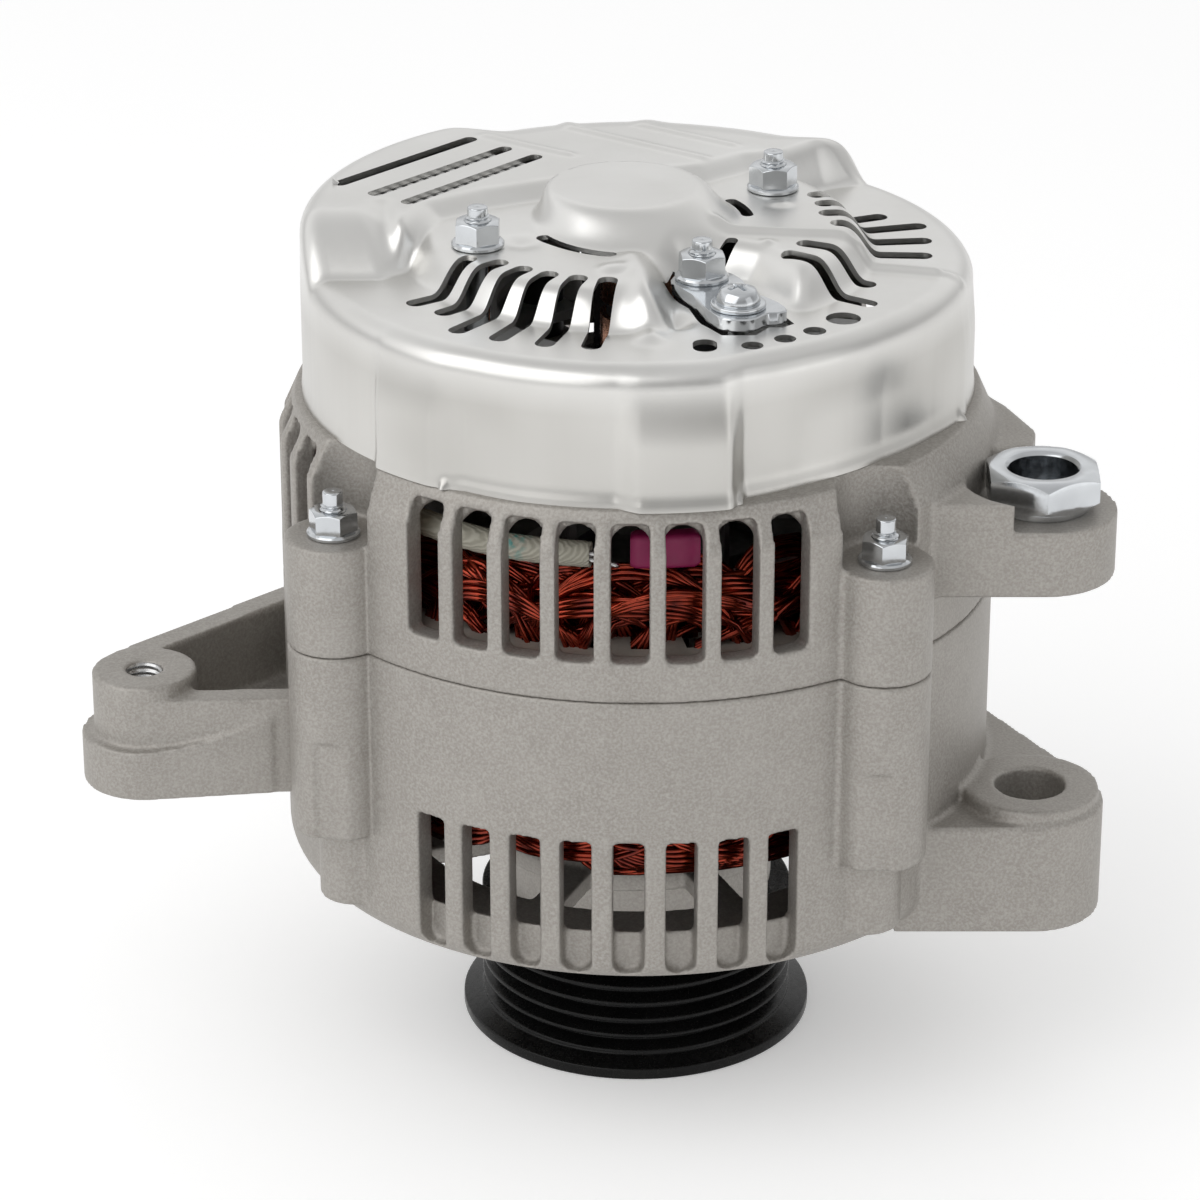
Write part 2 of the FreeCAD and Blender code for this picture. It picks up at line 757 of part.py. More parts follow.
def make_shaft():
    """one stepped shaft from the pulley nut to the slip rings"""
    return turned("rotor_shaft", [
        ("0", "shaft_end_height"),
        ("shaft_thread_radius", "shaft_end_height"),
        ("shaft_thread_radius", "pulley_web_height"),
        ("shaft_front_radius", "pulley_web_height"),
        ("shaft_front_radius", "front_bearing_top"),
        ("shaft_core_radius + shaft_shoulder", "front_bearing_top"),
        ("shaft_core_radius + shaft_shoulder", "rotor_bottom - fan_sheet"),
        ("shaft_core_radius", "rotor_bottom - fan_sheet"),
        ("shaft_core_radius", "rotor_top + fan_sheet"),
        ("rear_bearing_bore + rear_journal_shoulder", "rotor_top + fan_sheet"),
        ("rear_bearing_bore + rear_journal_shoulder", "rear_bearing_height"),
        ("rear_bearing_bore", "rear_bearing_height"),
        ("rear_bearing_bore", "rear_bearing_top"),
        ("slip_core_radius", "rear_bearing_top"),
        ("slip_core_radius", "shaft_top"),
        ("0", "shaft_top"),
    ])


# Bearings


def make_bearing(name, bore, radius, low, width, wall):
    """outer race, inner race and the two seals that the outer race carries"""
    high = f"{low} + {width}"
    inner = ring(f"{name}_inner_race", bore, f"{bore} + {wall}", low, high)
    outer = ring(f"{name}_outer_race", f"{radius} - {wall}", radius, low, high)
    lowest = f"{low} + seal_depth"
    highest = f"{high} - seal_depth"
    edge = f"{bore} + {wall} + seal_clearance"
    seals = group(f"{name}_seals", [
        ring(f"{name}_seal_a", edge, f"{radius} - {wall}", lowest, f"{lowest} + seal_thickness"),
        ring(f"{name}_seal_b", edge, f"{radius} - {wall}", f"{highest} - seal_thickness", highest),
    ])
    return [inner, outer, seals]


def make_collar():
    return ring("front_collar", "shaft_front_radius", "collar_radius", "pulley_height",
                "front_bearing_height")


# Housings


def bolt_place(angle):
    return polar(amount("bolt_circle_radius"), angle)


def pivot_place():
    return Vector(amount("pivot_across"), -amount("pivot_back"), 0)


def adjust_place():
    return Vector(-amount("adjust_across"), -amount("adjust_back"), 0)


def window_angles(step_name, turns):
    """the angles of one group of windows, then of its copies round the shaft"""
    count = int(amount("window_count"))
    step = amount(step_name)
    middle = amount("window_middle_angle")
    margin = amount("window_bolt_margin")
    for turn in turns:
        for index in range(count):
            angle = middle + turn + (index - (count - 1) / 2) * step
            gaps = [abs((angle - bolt + 180) % 360 - 180) for bolt in BOLT_ANGLES]
            if min(gaps) > margin:
                yield angle


def pivot_ear(low, high):
    """the ear's flat outline: round end, straight front and a back edge that runs to the wall"""
    pivot = pivot_place()
    radius = amount("pivot_ear_radius")
    root = amount("housing_radius - ear_root_depth")
    front_y = pivot.y - radius
    front = Vector(math.sqrt(root * root - front_y * front_y), front_y, 0)
    back = polar(amount("housing_radius - ear_back_depth"), amount("ear_back_angle"))
    reach = back - pivot
    lean = math.atan2(reach.y, reach.x)
    open_angle = math.acos(radius / reach.Length)
    touch = pivot + Vector(math.cos(lean - open_angle), math.sin(lean - open_angle), 0) * radius
    middle_turn = (lean - open_angle - math.pi / 2) / 2
    outer = pivot + Vector(math.cos(middle_turn), math.sin(middle_turn), 0) * radius
    lowest = pivot - Vector(0, radius, 0)
    edges = [
        Part.LineSegment(front, lowest).toShape(),
        Part.Arc(lowest, outer, touch).toShape(),
        Part.LineSegment(touch, back).toShape(),
        Part.LineSegment(back, front).toShape(),
    ]
    return slab(Part.Wire(edges), low, high)


def bowl_blank():
    """the outside of the front housing, round at its lower edge"""
    floor, radius, edge, parting = amounts("housing_floor_height", "housing_radius", "housing_edge_radius",
                                           "parting_height")
    centre = Vector(radius - edge, 0, floor + edge)
    low = centre - Vector(0, 0, edge)
    side = centre + Vector(edge, 0, 0)
    middle = centre + Vector(edge, 0, -edge) * math.sqrt(0.5)
    base = Vector(0, 0, floor)
    top = Vector(0, 0, parting)
    rim = Vector(radius, 0, parting)
    edges = [
        Part.LineSegment(base, low).toShape(),
        Part.Arc(low, middle, side).toShape(),
        Part.LineSegment(side, rim).toShape(),
        Part.LineSegment(rim, top).toShape(),
        Part.LineSegment(top, base).toShape(),
    ]
    return revolved(Part.Wire(edges))


def column_recess(angle, side):
    """a flat cut into the flank of a bolt's column"""
    lobe, depth, edge, reach, low = amounts("bolt_lobe_radius", "column_recess_depth", "column_recess_side",
                                            "column_recess_reach", "column_bottom")
    start = -reach if side < 0 else -edge
    block = Part.makeBox(lobe, reach + edge, amount("column_recess_height") + BEYOND,
                         Vector(lobe - depth, start, low - BEYOND))
    block.rotate(Vector(0, 0, 0), Vector(0, 0, 1), angle + side * amount("column_recess_turn"))
    block.translate(bolt_place(angle))
    return block


def bolt_columns():
    """the column round each bolt and the post that carries it"""
    solids = []
    parting, low = amounts("parting_height", "column_bottom")
    foot_low = amount("housing_floor_height + column_foot_rise")
    for angle in BOLT_ANGLES:
        place = bolt_place(angle)
        solids.append(post(place.x, place.y, amount("bolt_lobe_radius"), low, parting))
        foot = polar(amount("bolt_circle_radius - column_foot_inset"), angle)
        solids.append(post(foot.x, foot.y, amount("column_foot_radius"), foot_low, low))
    return solids


def front_windows():
    """the windows in the wall, each with a groove below that runs out over the floor's edge"""
    inner, radius, width = amounts("housing_inner_radius", "housing_radius", "front_window_width")
    sill = amount("housing_floor_height + front_sill_rise")
    top = amount("stator_bottom - front_window_drop")
    groove = amount("housing_radius - front_groove_depth")
    low = amount("housing_floor_height + front_groove_rise")
    tools = []
    for angle in window_angles("front_window_step", FRONT_WINDOW_TURNS):
        tools.append(radial_box(angle, width, inner - BEYOND, radius + BEYOND, sill, top))
        tools.append(radial_box(angle, width, groove, radius + BEYOND, low + width / 2, sill + BEYOND))
        tools.append(radial_post(angle, width / 2, groove, radius + BEYOND, low + width / 2))
    return tools


def floor_vents():
    """the openings in the front floor, with spokes between them"""
    floor, thick = amounts("housing_floor_height", "floor_thickness")
    inner = amount("front_boss_radius + floor_opening_margin")
    outer = amount("housing_inner_radius - floor_opening_edge")
    spokes = int(amount("floor_spokes"))
    low = floor - BEYOND
    high = floor + thick + BEYOND
    vents = post(0, 0, outer, low, high).cut(post(0, 0, inner, low, high))
    width = amount("floor_spoke_width")
    bars = [radial_box(360 / spokes * (index + 0.5), width, 0, outer + BEYOND, low, high) for index in range(spokes)]
    return vents.cut(bars)


def make_front_housing():
    floor, nose_low, nose, boss = amounts("housing_floor_height", "housing_nose_height", "housing_nose_radius",
                                          "front_boss_radius")
    seat, seat_top, core_low, parting = amounts("front_bearing_height", "front_bearing_top", "stator_bottom",
                                                "parting_height")
    floor_top = floor + amount("floor_thickness")
    inner = amount("housing_inner_radius")
    core = amount("stator_radius + touch_clearance")
    bearing = amount("front_bearing_radius + fit_clearance")
    ear_low, ear_top, pad_top = amounts("front_ear_bottom", "front_ear_top", "front_pad_top")
    pivot = pivot_place()
    bolt = amount("bolt_radius")

    bowl = bowl_blank().fuse(post(0, 0, nose, nose_low, floor))
    bowl = bowl.fuse(bolt_columns())
    pad = post(pivot.x, pivot.y, amount("pivot_ear_radius - pivot_pad_edge"), ear_low, pad_top)
    bowl = bowl.fuse([pivot_ear(ear_low, ear_top), pad])
    bowl = bowl.fuse(adjusting_ear())

    hollow = turned_solid([(boss, floor_top), (inner, floor_top), (inner, core_low), (core, core_low),
                           (core, parting + BEYOND), (0, parting + BEYOND), (0, seat_top), (boss, seat_top)])
    lip = amount("front_bearing_radius - bearing_lip_width")
    bowl = bowl.cut([hollow, post(0, 0, bearing, seat, seat_top + BEYOND),
                     post(0, 0, lip, nose_low - BEYOND, seat + BEYOND)])

    tools = front_windows()
    tools.append(floor_vents())
    for angle, side in COLUMN_RECESSES:
        tools.append(column_recess(angle, side))
    for angle in BOLT_ANGLES:
        place = bolt_place(angle)
        tools.append(post(place.x, place.y, bolt, amount("bolt_foot_height"), parting + BEYOND))
    for place in retainer_screw_places():
        tools.append(post(place.x, place.y, amount("retainer_screw_radius"), amount("retainer_screw_bottom"),
                          seat_top + BEYOND))
    tools.append(post(pivot.x, pivot.y, amount("pivot_bore_radius"), ear_low - BEYOND, pad_top + BEYOND))
    adjust = adjust_place()
    tools.append(post(adjust.x, adjust.y, amount("adjust_thread_radius"), amount("adjust_bottom") - BEYOND,
                      amount("adjust_top") + BEYOND))
    return shaped("front_housing", bowl.cut(tools))


def adjusting_ear():
    """a boss on two arms with a floor between them and a foot that sweeps up to the housing"""
    place = adjust_place()
    arm, boss, low, top = amounts("adjust_wall", "adjust_boss_radius", "adjust_bottom", "adjust_top")
    foot_radius = amount("adjust_boss_radius + adjust_foot_lip")
    foot_top = amount("adjust_bottom + adjust_foot_height")
    reach = amount("housing_radius - adjust_root_depth")
    front_start = place + Vector(amount("adjust_front_shift"), arm / 2 - boss, 0)
    back_start = place + Vector(-amount("adjust_rear_shift"), boss - arm / 2, 0)
    front_end = polar(reach, amount("adjust_front_angle"))
    back_end = polar(reach, amount("adjust_rear_angle"))
    front_arm = tangent_hull(front_start, arm / 2, front_end, arm / 2, low,
                             low + amount("adjust_front_height"))
    back_arm = tangent_hull(back_start, arm / 2, back_end, arm / 2, low, low + amount("adjust_rear_height"))
    corners = [front_start, front_end, back_end, back_start]
    floor = slab(outlined([(corner.x, corner.y) for corner in corners]), low,
                 low + amount("adjust_floor_height"))
    far = front_start + (front_end - front_start) * amount("adjust_foot_share")
    swept_top = foot_top + amount("adjust_foot_rise")
    swept = tangent_hull(place, foot_radius, far, arm / 2, low, swept_top)
    sweep = amount("adjust_foot_sweep")
    scoop = Part.makeCylinder(sweep, foot_radius * 4, Vector(place.x - amount("adjust_foot_shift"),
                                                             place.y - foot_radius * 2, foot_top + sweep),
                              Vector(0, 1, 0))
    front_half = Part.makeBox(foot_radius * 4, foot_radius * 2, swept_top,
                              Vector(place.x - foot_radius * 2, front_start.y - foot_radius * 2, 0))
    swept = swept.common(front_half).cut(scoop)
    ear = post(place.x, place.y, boss, low, top)
    ear = ear.fuse([post(place.x, place.y, foot_radius, low, foot_top), front_arm, back_arm, floor, swept])
    return ear.cut(post(0, 0, amount("housing_inner_radius"), low - BEYOND, top + BEYOND))


def niche_back(angle):
    """the wall behind a nut's niche, which closes it towards the windings"""
    place = bolt_place(angle)
    outer = post(place.x, place.y, amount("niche_radius + niche_wall"),
                 amount("bolt_seat_height - niche_floor"), amount("rear_floor_height") + BEYOND)
    inside = post(0, 0, amount("housing_inner_radius") + BEYOND / 2, 0, amount("rear_housing_top"))
    return outer.common(inside)


def rear_windows():
    inner, radius, width = amounts("housing_inner_radius", "housing_radius", "rear_window_width")
    bottom = amount("stator_top + rear_window_rise")
    top = amount("rear_floor_height + rear_arch_rise")
    skin = amount("housing_inner_radius + rear_window_skin")
    tools = []
    for angle in window_angles("rear_window_step", REAR_WINDOW_TURNS):
        tools.append(radial_box(angle, width, skin, radius + BEYOND, bottom, top + BEYOND / 2))
        tools.append(arched_box(angle, width, inner - BEYOND * 2, radius + BEYOND, bottom, top))
    return tools


def rear_vents():
    """the openings in the rear floor, with a spoke under each post that stands on it"""
    low, high = amounts("rear_floor_height", "rear_housing_top")
    inner, outer = amounts("rectifier_inner_radius", "housing_inner_radius - rear_vent_edge")
    low -= BEYOND
    high += BEYOND
    width = amount("rear_spoke_width")
    vents = post(0, 0, outer, low, high).cut(post(0, 0, inner, low, high))
    bars = []
    for place in stud_places() + [rear_post_place(), regulator_foot_place()]:
        angle = math.degrees(math.atan2(place.y, place.x))
        bars.append(radial_box(angle, width, 0, outer + BEYOND, low, high))
    return vents.cut(bars)


def rear_block():
    """the step on the rear ear that stands round the sliding bush"""
    pivot = pivot_place()
    low, high = amounts("rear_ear_top", "rear_ear_top + rear_block_rise")
    far = amount("housing_radius") * 2
    front_x = pivot.x - amount("rear_block_step")
    wall = polar(amount("housing_radius + rear_block_wall_out"), amount("rear_block_angle"))
    corners = [(0, -far), (front_x, -far), (front_x, pivot.y),
               (pivot.x + amount("rear_block_out"), pivot.y + amount("rear_block_back")),
               (wall.x, wall.y), (0, far)]
    block = pivot_ear(low, high).common(slab(outlined(corners), low, high))
    return block.cut(post(pivot.x, pivot.y, amount("pivot_ear_radius + rear_block_gap"), low, high))


def make_rear_housing():
    radius, rim, inner, floor, top = amounts("housing_radius", "rear_rim_radius", "housing_inner_radius",
                                             "rear_floor_height", "rear_housing_top")
    parting, shoulder, seat = amounts("parting_height", "rear_housing_top - rear_shoulder_drop",
                                      "bolt_seat_height")
    bearing_low, boss_radius, boss_top = amounts("rear_bearing_height", "rear_boss_radius", "rear_boss_top")
    core, core_top = amounts("stator_radius + touch_clearance", "stator_top")
    lip_low = bearing_low - amount("rear_lip_thickness")
    pivot = pivot_place()

    bowl = turned_solid([(0, parting), (radius, parting), (radius, shoulder), (rim, top), (0, top)])
    bowl = bowl.fuse(post(0, 0, boss_radius, top, boss_top))
    columns = []
    for angle in BOLT_ANGLES:
        place = bolt_place(angle)
        columns.append(post(place.x, place.y, amount("bolt_lobe_radius"), parting, seat))
    bowl = bowl.fuse(columns + [pivot_ear(*amounts("rear_ear_bottom", "rear_ear_top")), rear_block()])

    hollow = turned_solid([(0, parting - BEYOND), (core, parting - BEYOND), (core, core_top),
                           (inner, core_top), (inner, floor), (0, floor)])
    hollow = hollow.cut(post(0, 0, boss_radius, lip_low, floor + BEYOND))
    seat_hole = post(0, 0, amount("rear_bearing_radius + fit_clearance"), bearing_low, boss_top + BEYOND)
    lip = amount("rear_bearing_radius - rear_lip_width")
    shaft_hole = post(0, 0, lip, lip_low - BEYOND, boss_top + BEYOND)
    bowl = bowl.cut([hollow, seat_hole, shaft_hole])
    bowl = bowl.fuse([niche_back(angle) for angle in BOLT_ANGLES])

    tools = rear_windows()
    tools.append(rear_vents())
    for angle in BOLT_ANGLES:
        place = bolt_place(angle)
        tools.append(post(place.x, place.y, amount("bolt_radius + bolt_clearance"), parting - BEYOND,
                          seat + BEYOND))
        tools.append(post(place.x, place.y, amount("niche_radius"), seat, top + BEYOND))
    tools.append(post(pivot.x, pivot.y, amount("bush_radius"), amount("rear_ear_bottom") - BEYOND,
                      amount("rear_ear_top") + BEYOND))
    return shaped("rear_housing", bowl.cut(tools))


def make_slider_bush():
    """a sleeve with a hexagon head that slides in the rear ear"""
    across = ("pivot_across", "-pivot_back")
    sleeve = cylinder("bush_sleeve", "bush_radius - fit_clearance", "bush_hex_bottom - rear_ear_bottom",
                      across + ("rear_ear_bottom",))
    flange = cylinder("bush_flange", "bush_radius + bush_flange_lip", "bush_flange_thickness",
                      across + ("rear_ear_top",))
    head = hexagon("bush_head", "bush_hex_width", "bush_hex_height", across + ("bush_hex_bottom",),
                   amount("bush_hex_turn"))
    length = "bush_hex_bottom + bush_hex_height - rear_ear_bottom"
    hole = cylinder("bush_hole", "bush_bore_radius", length, across + ("rear_ear_bottom",))
    return cut("slider_bush", fused("bush_solid", [sleeve, flange, head]), hole)


# Fasteners


def flange_nut(name, across, seat):
    """a small hexagon nut with a round flange, on a stud of its own bore"""
    blank = fused(f"{name}_blank", [
        hexagon(f"{name}_hexagon", "nut_width", "nut_height", across + (seat,)),
        cylinder(f"{name}_flange", "nut_flange_radius", "nut_flange_height", across + (seat,))])
    return cut(name, blank, cylinder(f"{name}_hole", "stud_radius", "nut_height", across + (seat,)))


def make_through_bolts():
    """long studs screwed into the front housing, each with a small drive tip behind its nut"""
    bolts = []
    nuts = []
    for index, angle in enumerate(BOLT_ANGLES):
        across = on_circle("bolt_circle_radius", angle)
        shank = cylinder(f"bolt_shank_{index}", "bolt_radius", "bolt_tip_height - bolt_foot_height",
                         across + ("bolt_foot_height",))
        tip = cylinder(f"bolt_tip_{index}", "bolt_tip_radius", "bolt_tip_length", across + ("bolt_tip_height",))
        bolts.append(fused(f"through_bolt_{index}", [shank, tip]))
        nuts.append(flange_nut(f"bolt_nut_{index}", across, "bolt_seat_height"))
    return [group("through_bolts", bolts), group("through_bolt_nuts", nuts)]


# Stator


def winding_head(root, crown):
    """the coil ends over one face of the core, with its crown's edges bevelled"""
    start = amount("stator_bore + slot_lip + winding_clearance")
    end = amount("slot_bottom_radius + winding_spread")
    corner = amount("winding_corner") * (1 if crown > root else -1)
    return turned_solid([(start, root), (start, crown - corner), (start + abs(corner), crown),
                         (end - abs(corner), crown), (end, crown - corner), (end, root)])


def make_stator():
    """a ring of laminations with its slots, and the wire in and over the slots"""
    radius, bore, low, high = amounts("stator_radius", "stator_bore", "stator_bottom", "stator_top")
    width, mouth, bottom, lip = amounts("slot_width", "slot_mouth", "slot_bottom_radius", "slot_lip")
    gap, root = amounts("winding_clearance", "winding_root")
    start = low - BEYOND
    end = high + BEYOND
    count = int(amount("stator_slots"))
    slots = []
    bars = []
    for index in range(count):
        angle = 360 / count * index
        slots.append(radial_box(angle, width, bore + lip, bottom, start, end))
        slots.append(radial_box(angle, mouth, bore - BEYOND, bore + lip + BEYOND / 2, start, end))
        bars.append(radial_box(angle, width - 2 * gap, bore + lip + gap, bottom - gap, start, end))
    core = post(0, 0, radius, low, high).cut(post(0, 0, bore, low, high)).cut(slots)
    heads = [winding_head(low - root, low - amount("winding_front_length")),
             winding_head(high + root, amount("winding_top"))]
    winding = heads[0].fuse([heads[1]] + bars)
    return [shaped("stator_core", core), shaped("stator_winding", winding)]


def make_lead_parts():
    """the sleeve over the phase lead, laid on the winding, and the clip beside it"""
    seat = amount("winding_top + touch_clearance")
    middle = amount("slot_bottom_radius - lead_inset")
    radius = amount("lead_radius")
    tube = Part.makeTorus(middle, radius, Vector(0, 0, seat + radius), Vector(0, 0, 1), -180, 180,
                          amount("lead_sweep"))
    tube.rotate(Vector(0, 0, 0), Vector(0, 0, 1), amount("lead_start_angle"))
    clip = sector(middle - amount("clip_inside"), middle + amount("clip_outside"),
                  *amounts("clip_start_angle", "clip_sweep"), seat, seat + amount("clip_height"))
    return [shaped("lead_sleeve", tube), shaped("lead_clip", clip)]


# Rotor


def claw_pole(label, low, direction):
    """a disc with fingers that taper to their tips, and half of the core"""
    outer, disc, length, thick = amounts("rotor_radius", "claw_disc_thickness", "rotor_length",
                                         "claw_thickness")
    count = int(amount("claw_count"))
    tip = amount("claw_tip_width") / 2
    root = math.pi * outer / count - tip - amount("claw_gap")
    reach = length - amount("claw_tip_gap")
    inner = outer - thick
    end_in = outer - amount("claw_tip_thickness")
    beyond = outer + BEYOND
    shape = post(0, 0, inner, 0, disc)
    for index in range(count):
        arm = slab(outlined([(0, -root), (beyond, -root), (beyond, root), (0, root)]), 0, disc)
        base = outlined([(inner, -root), (beyond, -root), (beyond, root), (inner, root)])
        base.translate(Vector(0, 0, disc))
        end = outlined([(end_in, -tip), (beyond, -tip), (beyond, tip), (end_in, tip)])
        end.translate(Vector(0, 0, reach))
        finger = Part.makeLoft([base, end], True, True)
        for piece in (arm, finger):
            piece.rotate(Vector(0, 0, 0), Vector(0, 0, 1), 360 / count * index)
        shape = shape.fuse([arm, finger])
    shape = shape.common(post(0, 0, outer, 0, length))
    shape = shape.fuse(post(0, 0, amount("core_radius"), 0, length / 2))
    shape = shape.cut(post(0, 0, amount("shaft_core_radius"), -BEYOND, length))
    turn = FreeCAD.Rotation()
    if direction < 0:
        turn = FreeCAD.Rotation(Vector(0, 0, 1), 180 / count) * FreeCAD.Rotation(Vector(1, 0, 0), 180)
    return shaped(label, shape, FreeCAD.Placement(Vector(0, 0, low), turn))


def make_rotor():
    bottom = "rotor_bottom + claw_disc_thickness"
    top = "rotor_top - claw_disc_thickness"
    bobbin = turned("coil_bobbin", [
        ("core_radius", bottom), ("coil_radius", bottom), ("coil_radius", f"{bottom} + bobbin_wall"),
        ("core_radius + bobbin_wall", f"{bottom} + bobbin_wall"),
        ("core_radius + bobbin_wall", f"{top} - bobbin_wall"), ("coil_radius", f"{top} - bobbin_wall"),
        ("coil_radius", top), ("core_radius", top)])
    coil = ring("field_coil", "core_radius + bobbin_wall", "coil_radius", f"{bottom} + bobbin_wall",
                f"{top} - bobbin_wall")
    return [claw_pole("front_claw_pole", amount("rotor_bottom"), 1),
            claw_pole("rear_claw_pole", amount("rotor_top"), -1), bobbin, coil]


def fan(label, face, direction):
    """a stamped disc whose blades are bent up from its rim"""
    sheet, outer, hub, tall = amounts("fan_sheet", "fan_radius", "fan_hub_radius", "fan_blade_height")
    start, offset = amounts("fan_blade_start", "fan_blade_offset")
    count = int(amount("fan_blade_count"))
    pieces = []
    for index in range(count):
        angle = 360 / count * index
        arm = radial_box(angle, amount("fan_arm_width"), 0, outer - offset, 0, sheet)
        blade = Part.makeBox(outer - hub - start * 2, sheet, tall, Vector(0, -sheet / 2, 0))
        blade.rotate(Vector(0, 0, 0), Vector(0, 0, 1), amount("fan_blade_lean"))
        blade.translate(Vector(hub + start, -offset, 0))
        blade.rotate(Vector(0, 0, 0), Vector(0, 0, 1), angle)
        pieces += [arm, blade]
    shape = post(0, 0, hub, 0, sheet).fuse(pieces).common(post(0, 0, outer, 0, tall))
    shape = shape.cut(post(0, 0, amount("shaft_core_radius"), -BEYOND, tall))
    turn = FreeCAD.Rotation()
    if direction < 0:
        turn = FreeCAD.Rotation(Vector(1, 0, 0), 180)
    return shaped(label, shape, FreeCAD.Placement(Vector(0, 0, face), turn))


def make_fans():
    return [fan("front_fan", amount("rotor_bottom"), -1), fan("rear_fan", amount("rotor_top"), 1)]


def make_slip_rings():
    rings = []
    for index in range(2):
        low = f"slip_ring_bottom + (slip_ring_width + slip_ring_gap) * {index}"
        rings.append(ring(f"slip_ring_{index + 1}", "slip_sleeve_radius", "slip_ring_radius", low,
                          f"{low} + slip_ring_width"))
    sleeve = ring("slip_ring_sleeve", "slip_core_radius", "slip_sleeve_radius",
                  "slip_ring_bottom - slip_sleeve_reach", "shaft_top")
    return [group("slip_rings", rings), sleeve]


# Brushes and their holder


def brush_height(index):
    ring_middle = f"slip_ring_bottom + (slip_ring_width + slip_ring_gap) * {index} + slip_ring_width / 2"
    return f"{ring_middle} - brush_height / 2"


def make_brushes():
    holder = box("holder_block", "holder_width", "holder_length", "holder_top - holder_bottom",
                 ("-holder_width / 2", "holder_front", "holder_bottom"))
    channels = []
    nodes = []
    for index in range(2):
        low = brush_height(index)
        nodes.append(box(f"brush_{index + 1}", "brush_width", "brush_length", "brush_height",
                         ("-brush_width / 2", "brush_start", low)))
        channels.append(box(f"brush_channel_{index + 1}", "brush_width + brush_side_clearance * 2",
                            "holder_length - holder_back_wall", "brush_height + brush_side_clearance * 2",
                            ("-brush_width / 2 - brush_side_clearance", "holder_front",
                             f"{low} - brush_side_clearance")))
        nodes.append(spring(index))
    body = cut("brush_holder", holder, fused("brush_channels", channels))
    return [body] + nodes


def spring(index):
    """a coil spring between a brush and the end of its channel, seen as a thin tube"""
    start = amount("brush_start + brush_length + touch_clearance")
    end = amount("holder_front + holder_length - holder_back_wall - touch_clearance")
    middle = amount(brush_height(index) + " + brush_height / 2")
    outer, wire = amounts("brush_spring_radius", "brush_spring_wire")
    origin = Vector(0, start, middle)
    along = Vector(0, 1, 0)
    coil = Part.makeCylinder(outer, end - start, origin, along)
    bore = Part.makeCylinder(outer - wire, end - start, origin, along)
    return shaped(f"brush_spring_{index + 1}", coil.cut(bore))


# Electrical parts under the cover


def stud_places():
    """the rectifier's studs: left and right hold the cover, the front one the output plate"""
    return [Vector(*amounts(f"{side}_stud_x", f"{side}_stud_y"), 0) for side in ("left", "right", "front")]


def rear_post_place():
    return Vector(*amounts("rear_stud_x", "rear_stud_y"), 0)


def regulator_foot_place():
    return Vector(*amounts("socket_width / 2 + regulator_gap + regulator_width / 2",
                           "regulator_front + regulator_depth / 2"), 0)


def tube(place, bore, radius, low, high):
    return post(place.x, place.y, radius, low, high).cut(post(place.x, place.y, bore, low, high))


def make_fins(floor):
    """upright fins on the upper plate, cut off at the plate's edge"""
    inner, outer, height = amounts("rectifier_inner_radius + fin_plate_inset",
                                   "rectifier_outer_radius - fin_plate_edge", "fin_height")
    limit = sector(inner, outer, *fin_plate_angles(), floor, floor + height)
    first = amount("rectifier_outer_radius - fin_edge")
    length = amount("fin_length")
    fins = []
    for index in range(int(amount("fin_count"))):
        reach = first - index * amount("fin_pitch")
        if reach > inner:
            fin = Part.makeBox(amount("fin_thickness"), length, height, Vector(reach, -length / 2, floor))
            fin.rotate(Vector(0, 0, 0), Vector(0, 0, 1), amount("fin_angle"))
            fins.append(fin.common(limit))
    return fins


def fin_plate_angles():
    turn = amount("fin_plate_turn")
    return amount("rectifier_start_angle") + turn, amount("rectifier_sweep") - 2 * turn


def make_rectifier():
    """two heat sinks held apart on the studs, with the diodes pressed into the lower one"""
    low, lower_top, fin_low, fin_top = amounts("rectifier_bottom", "rectifier_bottom + plate_sheet",
                                               "fin_plate_bottom", "fin_plate_top")
    inner, outer, diode = amounts("rectifier_inner_radius", "rectifier_outer_radius", "diode_radius")
    start, sweep = amounts("rectifier_start_angle", "rectifier_sweep")
    diode_circle = outer - diode - amount("diode_edge")
    count = int(amount("diode_count"))
    diodes = []
    holes = []
    for index in range(count):
        place = polar(diode_circle, start + sweep * (index + 0.5) / count)
        diodes.append(post(place.x, place.y, diode, low, low + amount("diode_height")))
        holes.append(post(place.x, place.y, diode, low - BEYOND, lower_top + BEYOND))
    lower = sector(inner, outer, start, sweep, low, lower_top)
    upper = sector(inner + amount("fin_plate_inset"), outer - amount("fin_plate_edge"), *fin_plate_angles(),
                   fin_low, fin_top)
    upper = upper.fuse(make_fins(fin_top))
    spacers = []
    bore = amount("stud_radius + hole_clearance")
    left, right, front = stud_places()
    for place in (left, front, rear_post_place()):
        holes.append(post(place.x, place.y, amount("stud_radius + stud_clearance"), low - BEYOND,
                          fin_top + BEYOND))
        for bottom, top in ((amount("rear_housing_top"), low), (lower_top, fin_low)):
            spacers.append(tube(place, bore, amount("spacer_radius"), bottom, top))
    spacers.append(tube(front, bore, amount("spacer_radius"), fin_top, amount("terminal_bottom")))
    upper = upper.cut(holes + [post(front.x, front.y, amount("spacer_radius + stud_clearance"), fin_top,
                                    fin_top + amount("fin_height"))])
    return [shaped("rectifier_lower_plate", lower.cut(holes)), shaped("rectifier_fin_plate", upper),
            shaped("rectifier_diodes", Part.makeCompound(diodes)),
            shaped("rectifier_spacers", Part.makeCompound(spacers))]


